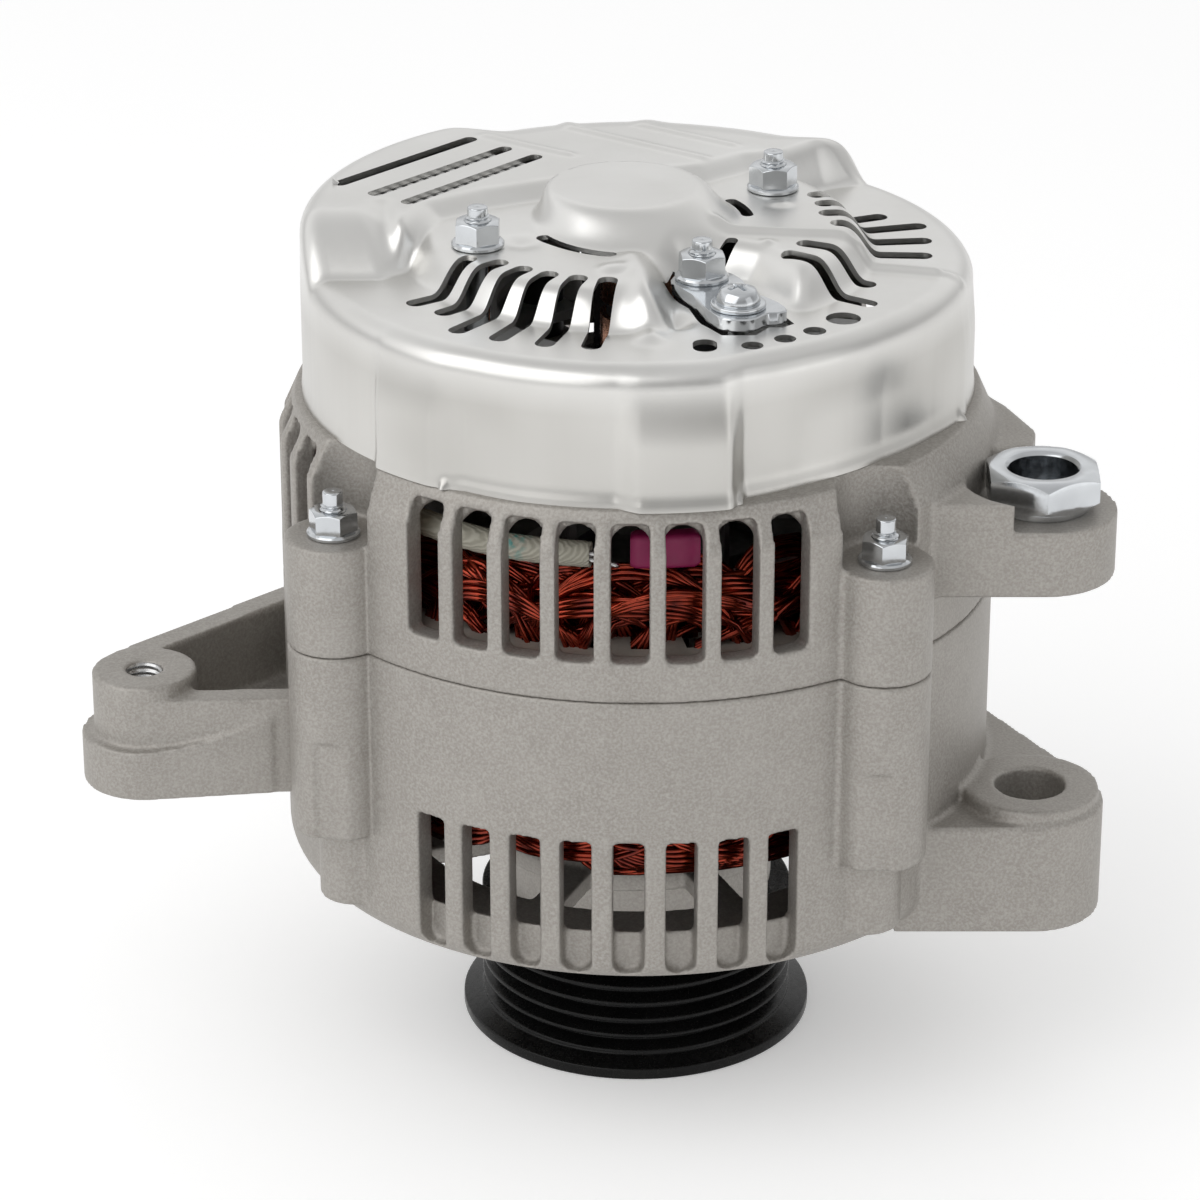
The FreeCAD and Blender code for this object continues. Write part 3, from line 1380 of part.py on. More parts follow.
def make_regulator():
    """the regulator block beside the brush holder, and the plug socket behind them"""
    low = amount("holder_bottom")
    side, front = amounts("socket_width / 2 + regulator_gap", "regulator_front")
    block = Part.makeBox(*amounts("regulator_width", "regulator_depth", "regulator_height"),
                         Vector(side, front, low))
    place = regulator_foot_place()
    foot = post(place.x, place.y, amount("regulator_foot_radius"), amount("rear_housing_top"), low)
    width, height, wall, depth = amounts("socket_width", "socket_height", "socket_wall", "socket_depth")
    back = amount("holder_front + holder_length + socket_gap")
    end = amount("cover_radius + socket_reach")
    base = low + amount("socket_rise")
    shell = Part.makeBox(width, end - back, height, Vector(-width / 2, back, base))
    long_edges = [edge for edge in shell.Edges if abs(edge.tangentAt(edge.FirstParameter).y) > 0.9]
    shell = shell.makeFillet(amount("socket_corner"), long_edges)
    mouth = Part.makeBox(width - 2 * wall, depth + BEYOND, height - 2 * wall,
                         Vector(wall - width / 2, end - depth, base + wall))
    return [shaped("regulator", block.fuse(foot)), shaped("plug_socket", shell.cut(mouth))]


def make_studs():
    """the rectifier's studs with the nuts that hold the cover and the output plate"""
    studs = []
    nuts = []
    seats = {"left": "cover_disc_height", "right": "cover_disc_height", "front": "terminal_top"}
    for side, seat in seats.items():
        across = (f"{side}_stud_x", f"{side}_stud_y")
        length = f"{seat} + stud_length - rear_housing_top"
        studs.append(cylinder(f"cover_stud_{side}", "stud_radius", length, across + ("rear_housing_top",)))
        nuts.append(flange_nut(f"cover_nut_{side}", across, seat))
    return [group("cover_studs", studs), group("cover_nuts", nuts)]


def terminal_place():
    return Vector(*amounts("terminal_x", "terminal_y"), 0)


def make_terminal():
    """the output plate in the cover's window with its pan head screw"""
    place = terminal_place()
    stud = stud_places()[2]
    low, top, washer_top = amounts("terminal_bottom", "terminal_top", "terminal_washer_top")
    screw, head = amounts("terminal_screw_radius", "terminal_washer_radius")
    bore = amount("terminal_screw_radius + hole_clearance")
    plate = tangent_hull(stud, head, place, head + amount("terminal_plate_edge"), low, top)
    stud_hole = amount("stud_radius + hole_clearance")
    plate = plate.cut([post(place.x, place.y, bore, low - BEYOND, top + BEYOND),
                       post(stud.x, stud.y, stud_hole, low - BEYOND, top + BEYOND)])
    sunk = Vector(place.x, place.y, washer_top - head * amount("terminal_head_sink"))
    ball = Part.makeSphere(head * amount("terminal_head_curve"), sunk)
    edge = head - amount("terminal_head_edge")
    cap = ball.common(post(place.x, place.y, edge, washer_top, washer_top + head))
    shank = post(place.x, place.y, screw, low - amount("terminal_screw_length"), washer_top)
    washer = tube(place, bore, head, top, washer_top)
    return [shaped("terminal_plate", plate), shaped("terminal_washer", washer),
            shaped("terminal_screw", cap.fuse(shank))]


# Rear cover


def cover_outline(inset):
    """the cover's plan: a circle with one flat side, and panels that stand in and out in front"""
    edges = []
    ends = []
    for panel in COVER_PANELS:
        points = [polar(amount(radius) - inset, angle) for radius, angle in panel]
        edges.append(Part.Arc(*points).toShape())
        ends.append((points[0], points[2]))
    joined = []
    for index, edge in enumerate(edges):
        joined.append(edge)
        following = ends[(index + 1) % len(ends)][0]
        if following.distanceToPoint(ends[index][1]) > 1e-6:
            joined.append(Part.LineSegment(ends[index][1], following).toShape())
    return Part.Wire(Part.__sortEdges__(joined))


def grown(corners, gap):
    """a polygon with its edges moved outwards"""
    wire = outlined(corners)
    return wire.makeOffset2D(gap, 2) if gap else wire


def raised_loft(low_wire, low, high_wire, high):
    low_wire.translate(Vector(0, 0, low))
    high_wire.translate(Vector(0, 0, high))
    return Part.makeLoft([low_wire, high_wire], True, True)


def circle(x, y, radius):
    return Part.Wire(Part.makeCircle(radius, Vector(x, y, 0)))


def cover_form(inset):
    """the solid form of the pressing, drawn in by an inset"""
    low, edge = amounts("rear_housing_top", "cover_shelf_edge")
    shelf, disc, plateau, dome = [level - inset for level in amounts(
        "cover_shelf_height", "cover_disc_height", "cover_plateau_height", "cover_dome_height")]
    rim, slope, foot, top = amounts("cover_disc_radius", "cover_disc_slope", "cover_dome_foot",
                                    "cover_dome_top")
    shoulder = shelf - edge
    wall = slab(cover_outline(inset), low if inset == 0 else low - BEYOND, shoulder)
    crown = raised_loft(cover_outline(inset), shoulder, cover_outline(inset + edge * 0.8), shelf)
    middle = Part.makeCone(rim - inset + slope, rim - inset, disc - shelf, Vector(0, 0, shelf))
    middle = middle.cut(slab(grown(BAY_CORNERS, inset), shelf, disc + BEYOND))
    back = raised_loft(cover_outline(inset + edge * 0.4), shelf - edge / 2, cover_outline(inset + edge),
                       plateau)
    back = back.common(slab(grown(PLATEAU_CORNERS, -inset), shoulder, plateau + BEYOND))
    peak = raised_loft(circle(0, 0, foot - inset), disc,
                       circle(-amount("cover_dome_across"), amount("cover_dome_back"), top - inset), dome)
    return wall.fuse([crown, middle, back, peak]).removeSplitter()


def terminal_window(low, high):
    """the opening round the output stud and the terminal, wider beside the terminal"""
    stud = stud_places()[2]
    place = terminal_place()
    nut = amount("nut_flange_radius + nut_window_margin")
    screw = amount("terminal_washer_radius + terminal_window_margin")
    shift, bump = amounts("window_bump_shift", "window_bump_radius")
    hull = tangent_hull(stud, nut, place, screw, low, high)
    return hull.fuse(post(place.x + shift, place.y, bump, low, high))


def cover_cutters():
    low = amount("cover_shelf_height - cover_shelf_edge") - BEYOND
    high = amount("cover_dome_height") + BEYOND
    width, long_width = amounts("cooling_slot_width", "long_slot_width")
    disc, rim, flat = amounts("cover_disc_radius", "cover_radius", "cover_flat_radius")
    tools = []
    for angle, start, end in COOLING_SLOTS:
        outer = polar(rim - end - width / 2, angle)
        tools.append(stadium(polar(disc - start, angle), outer, width, low, high))
    along = polar(1, amount("long_slot_angle"))
    across = Vector(-along.y, along.x, 0)
    for index in range(int(amount("long_slot_count"))):
        middle = across * (rim - amount("long_slot_inset") - index * amount("long_slot_spacing"))
        back_end = middle - along * amount("long_slot_start")
        front_end = middle + along * amount("long_slot_end")
        tools.append(stadium(back_end, front_end, long_width, low, high))
    for start, end in ARC_SLOTS:
        tools.append(arc_slot(amount("arc_slot_radius"), amount("arc_slot_width"), start, end, low, high))
    for angle, inset, radius in SHELF_HOLES:
        place = polar(flat - inset, angle)
        tools.append(post(place.x, place.y, radius, low, high))
    outer = flat - amount("shelf_slot_inset")
    angle = amount("shelf_slot_angle")
    tools.append(stadium(polar(outer, angle), polar(outer + amount("shelf_slot_length"), angle),
                         amount("shelf_slot_width"), low, high))
    for place in stud_places()[:2]:
        tools.append(post(place.x, place.y, amount("stud_radius + stud_clearance"), low, high))
    tools.append(terminal_window(low, high))
    gap, half = amounts("socket_opening", "socket_width / 2 + socket_opening")
    bottom, top = amounts("rear_housing_top", "holder_bottom + socket_rise + socket_height")
    start = amount("cover_radius - socket_depth")
    tools.append(Part.makeBox(half * 2, rim - start + BEYOND, top + gap - bottom + BEYOND,
                              Vector(-half, start, bottom - BEYOND)))
    return tools


def make_cover():
    shell = cover_form(0).cut(cover_form(amount("cover_sheet")))
    return shaped("rear_cover", shell.cut(cover_cutters()))


# Bearing retainer


def retainer_screw_places():
    radius = amount("front_bearing_radius + bearing_boss_wall / 2")
    count = int(amount("retainer_screw_count"))
    return [polar(radius, amount("retainer_screw_turn") + 360 / count * index) for index in range(count)]


def make_retainer():
    """the plate inside the front housing that keeps the bearing in its seat, and its screws"""
    low, high = amounts("retainer_bottom", "retainer_top")
    radius, head, head_height = amounts("retainer_screw_radius", "retainer_screw_head", "screw_head_height")
    plate = post(0, 0, amount("front_boss_radius"), low, high)
    holes = [post(0, 0, amount("front_bearing_radius - race_thickness + retainer_hole_margin"), low - BEYOND,
                  high + BEYOND)]
    screws = []
    for place in retainer_screw_places():
        holes.append(post(place.x, place.y, radius + amount("hole_clearance"), low - BEYOND, high + BEYOND))
        shank = post(place.x, place.y, radius, amount("retainer_screw_bottom"), high)
        screws.append(shank.fuse(Part.makeCone(head, radius, head_height, Vector(place.x, place.y, high))))
    return [shaped("bearing_retainer", plate.cut(holes)),
            shaped("retainer_screws", Part.makeCompound(screws))]


def build():
    nodes = [make_pulley(), make_pulley_nut(), make_shaft(), make_collar()]
    nodes += make_bearing("front_bearing", "shaft_front_radius", "front_bearing_radius", "front_bearing_height",
                          "front_bearing_width", "race_thickness")
    nodes += make_bearing("rear_bearing", "rear_bearing_bore", "rear_bearing_radius", "rear_bearing_height",
                          "rear_bearing_width", "rear_race_thickness")
    nodes += make_retainer()
    nodes += [make_front_housing(), make_rear_housing(), make_slider_bush()]
    nodes += make_through_bolts()
    nodes += make_stator() + make_lead_parts()
    nodes += make_rotor() + make_fans() + make_slip_rings()
    nodes += make_brushes() + make_rectifier() + make_regulator()
    nodes += make_studs() + make_terminal()
    nodes.append(make_cover())
    return nodes


def check(nodes):
    for thing in doc.Objects:
        bad = [state for state in thing.State if state in ("Invalid", "Error")]
        if bad:
            raise RuntimeError(f"{thing.Label} did not build: {thing.getStatusString()}")
    for node in nodes:
        if node.Shape.isNull() or not node.Shape.isValid() or not node.Shape.Solids:
            raise RuntimeError(f"{node.Label} has no valid solid")


def export(nodes):
    os.makedirs("parts", exist_ok=True)
    for node in nodes:
        node.Shape.exportStep(f"parts/{node.Label}.step")
        print(node.Label, len(node.Shape.Solids), round(node.Shape.Volume, 1))


nodes = build()
doc.recompute()
check(nodes)
export(nodes)
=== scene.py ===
import json
import math
import random

import bmesh
import bpy
import numpy as np
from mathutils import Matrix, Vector


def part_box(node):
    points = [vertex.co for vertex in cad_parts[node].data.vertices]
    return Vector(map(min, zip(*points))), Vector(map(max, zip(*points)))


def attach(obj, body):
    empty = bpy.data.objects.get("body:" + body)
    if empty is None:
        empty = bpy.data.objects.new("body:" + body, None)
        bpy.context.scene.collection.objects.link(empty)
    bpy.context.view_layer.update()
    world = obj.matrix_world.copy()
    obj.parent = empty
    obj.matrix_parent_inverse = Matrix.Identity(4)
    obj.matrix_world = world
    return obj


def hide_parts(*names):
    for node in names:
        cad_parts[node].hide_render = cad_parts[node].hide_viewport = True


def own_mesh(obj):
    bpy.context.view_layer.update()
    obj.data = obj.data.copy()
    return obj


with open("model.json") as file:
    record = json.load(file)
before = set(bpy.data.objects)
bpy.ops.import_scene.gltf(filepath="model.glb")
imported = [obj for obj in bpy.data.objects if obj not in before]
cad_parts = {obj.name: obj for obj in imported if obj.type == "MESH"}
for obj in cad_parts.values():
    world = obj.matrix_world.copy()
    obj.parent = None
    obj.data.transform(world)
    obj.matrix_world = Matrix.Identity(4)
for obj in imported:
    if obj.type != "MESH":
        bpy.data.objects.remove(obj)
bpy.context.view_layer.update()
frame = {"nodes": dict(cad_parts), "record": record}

# The alternator stands on its pulley with the shaft along Z. Sizes here are in millimetres and
# angles in degrees, in the frame's own axes. Meshes are turned into metres as they are made.

MM = 0.001
NODES = frame["nodes"]

# Camera of the photograph
CAMERA_TARGET = (-7.3, 0.0, 87.8)
CAMERA_DISTANCE = 882.0
CAMERA_DROP = 23.8
CAMERA_LENS = 135.0
SENSOR = 36.0


# Small helpers


def node_box(name):
    """lowest and highest corner of a frame node in millimetres"""
    low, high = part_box(name)
    return np.array(low) / MM, np.array(high) / MM


def add_object(name, mesh, slot, replaces=(), body="frame"):
    """a piece in its slot's material that rides on a body and stands for the nodes it replaces"""
    piece = bpy.data.objects.new(name, mesh)
    bpy.context.scene.collection.objects.link(piece)
    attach(piece, body)
    mesh.materials.clear()
    mesh.materials.append(MATERIALS[slot])
    if replaces:
        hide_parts(*replaces)
    return piece


def add_form(name, form, slot, replaces=(), body="frame", crisp=None):
    """a piece from one form of points and faces, whose edges over crisp degrees stay sharp"""
    piece = add_object(name, mesh_from(name, *form), slot, replaces, body)
    if crisp:
        piece.data.set_sharp_from_angle(angle=math.radians(crisp))
    return piece


def mesh_from(name, points, faces, smooth=True):
    """a mesh from millimetre points"""
    mesh = bpy.data.meshes.new(name)
    mesh.from_pydata((np.asarray(points, float) * MM).tolist(), [], faces)
    mesh.update()
    if smooth:
        mesh.shade_smooth()
    return mesh


def merged(parts):
    """several (points, faces) lists as one"""
    points, faces = [], []
    for some_points, some_faces in parts:
        start = len(points)
        points.extend(np.asarray(some_points, float).tolist())
        faces.extend([tuple(start + index for index in face) for face in some_faces])
    return points, faces


def grid_faces(rows, columns, wrap=False):
    """quads of a grid whose points run row by row"""
    faces = []
    last = columns if wrap else columns - 1
    for row in range(rows - 1):
        for column in range(last):
            right = (column + 1) % columns
            faces.append((row * columns + column, row * columns + right,
                          (row + 1) * columns + right, (row + 1) * columns + column))
    return faces


def plan_point(radius, angle):
    return radius * math.cos(math.radians(angle)), radius * math.sin(math.radians(angle))


def smooth_step(value):
    value = np.clip(value, 0.0, 1.0)
    return value * value * (3.0 - 2.0 * value)


def end_faces(rows, columns):
    """one many-sided face over a grid's first row and one over its last"""
    last = (rows - 1) * columns
    return [tuple(range(columns))[::-1], tuple(last + column for column in range(columns))]


def turned(rows, segments, centre=(0.0, 0.0), turn=0.0):
    """a closed form round an upright line from rows of radius and height, each one value or one per angle"""
    angles = np.linspace(0, 2 * math.pi, segments, endpoint=False)
    points = []
    for radius, height in rows:
        reaches = np.broadcast_to(radius, angles.shape)
        levels = np.broadcast_to(height, angles.shape)
        for reach, level, angle in zip(reaches, levels, angles + turn):
            points.append((centre[0] + reach * math.cos(angle), centre[1] + reach * math.sin(angle), level))
    faces = grid_faces(len(rows), segments, wrap=True)
    last = (len(rows) - 1) * segments
    for column in range(segments):
        right = (column + 1) % segments
        faces.append((last + column, last + right, right, column))
    return points, faces


def on_bend(start, corner, end, share):
    """a point on the curve that turns a corner"""
    return (1 - share) ** 2 * start + 2 * share * (1 - share) * corner + share ** 2 * end


def rounded(profile, radius, steps=3):
    """a closed (radius, height) profile with its corners turned on small arcs"""
    count = len(profile)
    result = []
    for index in range(count):
        before = np.array(profile[index - 1], float)
        corner = np.array(profile[index], float)
        after = np.array(profile[(index + 1) % count], float)
        back, ahead = before - corner, after - corner
        reach = min(radius, np.linalg.norm(back) * 0.45, np.linalg.norm(ahead) * 0.45)
        start = corner + back / max(np.linalg.norm(back), 1e-9) * reach
        end = corner + ahead / max(np.linalg.norm(ahead), 1e-9) * reach
        for step in range(steps + 1):
            result.append(tuple(on_bend(start, corner, end, step / steps)))
    return result


# Place of the phase lead's sleeve on the winding
SLEEVE_START = -136.6
SLEEVE_END = -99.0
SLEEVE_CIRCLE = 57.4
SLEEVE_RADIUS = 2.05
SLEEVE_HEIGHT = float(node_box("lead_sleeve")[0][2] + node_box("lead_sleeve")[1][2]) / 2
TRACER_TURN = -113.5
BRAID_THICKNESS = 0.35
LEAD_RADIUS = 0.55
# Bare ends of the lead as (height off the sleeve's middle, angle past its end, drop)
LEAD_ENDS = ((-0.75, 5.0, 1.4), (0.35, 3.4, 0.4))


def sleeve_point(angle, height):
    return (*plan_point(SLEEVE_CIRCLE, angle), height)


# Materials


def new_material(name, colour, metallic, roughness):
    material = bpy.data.materials.new(name)
    material.use_nodes = True
    shader = material.node_tree.nodes["Principled BSDF"]
    shader.inputs["Base Color"].default_value = (*colour, 1.0)
    shader.inputs["Metallic"].default_value = metallic
    shader.inputs["Roughness"].default_value = roughness
    return material, shader


def add_node(material, kind, **inputs):
    """a node in a material or the world, with its inputs set"""
    node = material.node_tree.nodes.new(kind)
    for name, value in inputs.items():
        node.inputs[name].default_value = value
    return node


def link(material, value, socket):
    material.node_tree.links.new(value, socket)


def place_coordinates(material, stretch=(1.0, 1.0, 1.0)):
    """the piece's own coordinates in metres, stretched"""
    source = add_node(material, "ShaderNodeTexCoord")
    mapping = add_node(material, "ShaderNodeMapping", Scale=stretch)
    link(material, source.outputs["Object"], mapping.inputs["Vector"])
    return mapping.outputs["Vector"]


def noise(material, scale, detail=2.0, roughness=0.5, stretch=(1.0, 1.0, 1.0)):
    node = add_node(material, "ShaderNodeTexNoise", Scale=scale, Detail=detail, Roughness=roughness)
    link(material, place_coordinates(material, stretch), node.inputs["Vector"])
    return node.outputs["Fac"]


def ranged(material, value, low, high, from_low=0.3, from_high=0.7):
    ends = {"From Min": from_low, "From Max": from_high, "To Min": low, "To Max": high}
    node = add_node(material, "ShaderNodeMapRange", **ends)
    link(material, value, node.inputs["Value"])
    return node.outputs["Result"]


def blend_colours(material, value, first, second):
    node = add_node(material, "ShaderNodeMix")
    node.data_type = "RGBA"
    link(material, value, node.inputs["Factor"])
    for socket, colour in ((node.inputs[6], first), (node.inputs[7], second)):
        if isinstance(colour, tuple):
            socket.default_value = (*colour, 1.0)
        else:
            link(material, colour, socket)
    return node.outputs[2]


def spread(material, value):
    """a noise's middle range drawn out to 0 to 1"""
    return ranged(material, value, 0.0, 1.0)


def add_bump(material, shader, value, strength, distance, normal=None):
    node = add_node(material, "ShaderNodeBump", Strength=strength, Distance=distance)
    link(material, value, node.inputs["Height"])
    if normal:
        link(material, normal, node.inputs["Normal"])
    link(material, node.outputs["Normal"], shader.inputs["Normal"])
    return node.outputs["Normal"]


def finished(material, shader, colour, roughness):
    link(material, colour, shader.inputs["Base Color"])
    link(material, roughness, shader.inputs["Roughness"])


def cast_aluminium():
    """shot-blasted casting: fine bright grain, faint mottling, paler edges"""
    material, shader = new_material("cast_aluminium", (0.42, 0.4, 0.37), 0.6, 0.5)
    grain = noise(material, 1900.0, 2.0, 0.6)
    mottle = noise(material, 110.0, 4.0, 0.6)
    base = blend_colours(material, spread(material, mottle), (0.315, 0.294, 0.268), (0.35, 0.329, 0.302))
    speck = blend_colours(material, ranged(material, grain, 0.0, 0.6, 0.38, 0.72), base, (0.55, 0.53, 0.5))
    geometry = add_node(material, "ShaderNodeNewGeometry")
    edge = ranged(material, geometry.outputs["Pointiness"], 0.0, 0.45, 0.53, 0.62)
    tone = blend_colours(material, edge, speck, (0.52, 0.5, 0.465))
    finished(material, shader, tone, ranged(material, grain, 0.44, 0.62))
    coarse = add_bump(material, shader, noise(material, 900.0, 3.0, 0.6), 0.16, 0.0002)
    add_bump(material, shader, grain, 0.45, 0.00014, coarse)
    return material


# Heights at which the painted shade on the cover's wall is full and where it has faded into the top's colour
WALL_SHADE_FULL = 151.0
WALL_SHADE_GONE = 160.0


def pressed_aluminium():
    """bright rolled sheet, finely streaked down its drawn wall, with painted shade that makes the wall
    darker than the top
    """
    material, shader = new_material("pressed_aluminium", (0.7, 0.695, 0.68), 1.0, 0.28)
    streak = noise(material, 700.0, 3.0, 0.6, (1.0, 1.0, 0.03))
    cloud = noise(material, 45.0, 2.0, 0.5)
    broad = noise(material, 28.0)
    wall = blend_colours(material, spread(material, broad), (0.5, 0.49, 0.465), (0.62, 0.61, 0.585))
    top = blend_colours(material, spread(material, cloud), (0.72, 0.713, 0.692), (0.78, 0.775, 0.757))
    split = add_node(material, "ShaderNodeSeparateXYZ")
    link(material, place_coordinates(material), split.inputs["Vector"])
    # painted shade: the wall below the shoulder gets a darker colour than the top, blended between the two
    # heights
    height = ranged(material, split.outputs["Z"], 0.0, 1.0, WALL_SHADE_FULL * MM, WALL_SHADE_GONE * MM)
    tone = blend_colours(material, height, wall, top)
    finished(material, shader, tone, ranged(material, streak, 0.3, 0.35))
    soft = add_bump(material, shader, cloud, 0.3, 0.0005)
    add_bump(material, shader, streak, 0.012, 0.00006, soft)
    return material


def brushed(name, colour, roughness, grain=1200.0, metallic=1.0, strength=0.2):
    """plain metal with fine grain in its roughness and surface"""
    material, shader = new_material(name, colour, metallic, roughness)
    grit = noise(material, grain, 2.0, 0.6)
    dark = tuple(channel * 0.86 for channel in colour)
    tone = blend_colours(material, spread(material, noise(material, 150.0)), dark, colour)
    finished(material, shader, tone, ranged(material, grit, roughness * 0.75, min(1.0, roughness * 1.3)))
    add_bump(material, shader, grit, strength, 0.00005)
    return material


def enamelled_copper():
    """wire under clear red-brown enamel"""
    material, shader = new_material("enamelled_copper", (0.25, 0.03, 0.012), 0.95, 0.16)
    shade = spread(material, noise(material, 190.0, 2.0))
    tone = blend_colours(material, shade, (0.09, 0.006, 0.003), (0.42, 0.05, 0.018))
    finished(material, shader, tone, ranged(material, noise(material, 900.0), 0.12, 0.24))
    shader.inputs["Coat Weight"].default_value = 0.35
    shader.inputs["Coat Roughness"].default_value = 0.08
    return material


def nearness(material, place, full, gone):
    """from 1 near a place in millimetres to 0 away from it"""
    measure = add_node(material, "ShaderNodeVectorMath")
    measure.operation = "DISTANCE"
    link(material, place_coordinates(material), measure.inputs[0])
    measure.inputs[1].default_value = tuple(value * MM for value in place)
    return ranged(material, measure.outputs["Value"], 1.0, 0.0, full * MM, gone * MM)


def product(material, first, second):
    node = add_node(material, "ShaderNodeMath")
    node.operation = "MULTIPLY"
    link(material, first, node.inputs[0])
    link(material, second, node.inputs[1])
    return node.outputs["Value"]


def glass_sleeve():
    """varnished glass braid, yellowed at its start, with a coloured tracer rubbed into its middle"""
    material, shader = new_material("glass_sleeve", (0.62, 0.6, 0.5), 0.0, 0.75)
    weave = add_node(material, "ShaderNodeTexWave", Scale=620.0, Distortion=2.5, Detail=2.0)
    weave.bands_direction = "DIAGONAL"
    link(material, place_coordinates(material, (1.0, 1.0, -1.0)), weave.inputs["Vector"])
    cloth = blend_colours(material, ranged(material, weave.outputs["Fac"], 0.0, 1.0, 0.1, 0.9),
                          (0.46, 0.44, 0.36), (0.62, 0.6, 0.51))
    start = sleeve_point(SLEEVE_START, SLEEVE_HEIGHT)
    patches = ranged(material, noise(material, 300.0), 0.4, 1.0)
    burnt = product(material, nearness(material, start, 1.0, 9.0), patches)
    cloth = blend_colours(material, burnt, cloth, (0.3, 0.17, 0.05))
    rubbed = ranged(material, noise(material, 700.0, 3.0), 0.0, 1.0, 0.42, 0.6)
    place = sleeve_point(TRACER_TURN, SLEEVE_HEIGHT + 0.8)
    tracer = product(material, nearness(material, place, 1.2, 4.2), rubbed)
    tone = blend_colours(material, tracer, cloth, (0.05, 0.42, 0.4))
    finished(material, shader, tone, ranged(material, noise(material, 500.0), 0.6, 0.85))
    add_bump(material, shader, weave.outputs["Fac"], 0.5, 0.0002)
    return material


def plastic(name, colour, roughness, grain=1500.0):
    material, shader = new_material(name, colour, 0.0, roughness)
    grit = noise(material, grain, 2.0)
    lighter = tuple(min(1.0, channel * 1.35 + 0.004) for channel in colour)
    tone = blend_colours(material, spread(material, noise(material, 200.0)), colour, lighter)
    finished(material, shader, tone, ranged(material, grit, roughness * 0.85, min(1.0, roughness * 1.2)))
    add_bump(material, shader, grit, 0.15, 0.00008)
    return material


def black_paint():
    """gloss black over turned steel"""
    material, shader = new_material("black_paint", (0.003, 0.003, 0.003), 0.0, 0.26)
    mottle = spread(material, noise(material, 90.0))
    tone = blend_colours(material, mottle, (0.003, 0.003, 0.003), (0.006, 0.006, 0.006))
    finished(material, shader, tone, ranged(material, noise(material, 700.0, 2.0), 0.2, 0.34))
    add_bump(material, shader, noise(material, 500.0, 2.0), 0.08, 0.0001)
    shader.inputs["Specular IOR Level"].default_value = 0.24
    return material


MATERIALS = {
    "cast_aluminium": cast_aluminium(),
    "pressed_aluminium": pressed_aluminium(),
    "zinc_steel": brushed("zinc_steel", (0.62, 0.64, 0.66), 0.15, 900.0, 1.0, 0.12),
    "bearing_steel": brushed("bearing_steel", (0.6, 0.6, 0.6), 0.25),
    "lamination_steel": brushed("lamination_steel", (0.5, 0.47, 0.42), 0.6, 900.0, 0.4),
    "enamelled_copper": enamelled_copper(),
    "slip_copper": brushed("slip_copper", (0.78, 0.4, 0.26), 0.25),
    "glass_sleeve": glass_sleeve(),
    "magenta_plastic": plastic("magenta_plastic", (0.24, 0.003, 0.07), 0.45),
    "black_plastic": plastic("black_plastic", (0.015, 0.015, 0.016), 0.5),
    "seal_rubber": plastic("seal_rubber", (0.012, 0.012, 0.012), 0.65),
    "sink_aluminium": brushed("sink_aluminium", (0.82, 0.82, 0.81), 0.5, 1200.0, 0.6),
    "forged_steel": brushed("forged_steel", (0.2, 0.19, 0.18), 0.5, 500.0, 0.8, 0.4),
    "fan_steel": brushed("fan_steel", (0.34, 0.335, 0.325), 0.45),
    "black_paint": black_paint(),
    "carbon": plastic("carbon", (0.02, 0.02, 0.021), 0.55),
}


def dress_nodes():
    """every frame node gets the material of its slot"""
    for row in frame["record"]["subparts"]:
        mesh = NODES[row["node"]].data
        mesh.materials.clear()
        mesh.materials.append(MATERIALS[row["material_slot"]])


# Castings

VOXEL = 0.6
SOFTENING = 2


def casting(name, node):
    """a node's own form with the soft corners of a die casting"""
    piece = add_object(name, NODES[node].data.copy(), "cast_aluminium", (node,))
    remesh = piece.modifiers.new("remesh", "REMESH")
    remesh.mode = "VOXEL"
    remesh.voxel_size = VOXEL * MM
    soften = piece.modifiers.new("soften", "SMOOTH")
    soften.factor = 0.5
    soften.iterations = SOFTENING
    applied(piece)
    piece.data.shade_smooth()


def make_castings():
    casting("front_casting", "front_housing")
    casting("rear_casting", "rear_housing")


# Rear cover: one pressed sheet, drawn as a height over the plan inside and a radius round the wall

SHEET = 1.0
RIM_LOW = 134.0
SHELF = 160.0
DISC = 166.3
PLATEAU = 169.0
DOME = 172.0
DOME_RADIUS = 20.0
DOME_TOP_RADIUS = 14.5
DOME_TOP_PLACE = (-3.0, 4.5)
DISC_EDGE = 45.2
DISC_SLOPE = 7.5
SOCKET_HALF_WIDTH = 12.0
SOCKET_BACK = 50.0
SOCKET_TOP = 152.0
# The wall's radius at its foot and below its shoulder, and the shoulder's own radius, each by angle
WALL_PLACES = ((0, 64.2), (60, 64.4), (136, 64.4), (180, 64.2), (221, 63.7), (222.6, 65.6),
               (234.6, 65.7), (240.4, 63.6), (250, 64.0), (266.2, 63.6), (269.6, 65.8), (284.2, 65.8),
               (287.4, 61.3), (300, 59.8), (318, 59.5), (332, 61.2), (344, 63.6))
CROWN_PLACES = ((0, 63.4), (42, 63.6), (56, 58.8), (75, 59.2), (90, 60.2), (120.5, 60.4), (126, 64.3),
                (180, 64.0), (221, 63.8), (238, 63.9), (262, 63.9), (271, 63.4), (283, 63.2),
                (290, 61.2), (318, 61.0), (340, 62.2))
SHOULDER_PLACES = ((0, 4.2), (42, 4.2), (58, 11.0), (118, 11.0), (127, 4.2))
RIM_TABS = (237.0, 286.4, 341.0)
CREASE_ROUND = 0.9
COVER_MIDDLE = 1.0
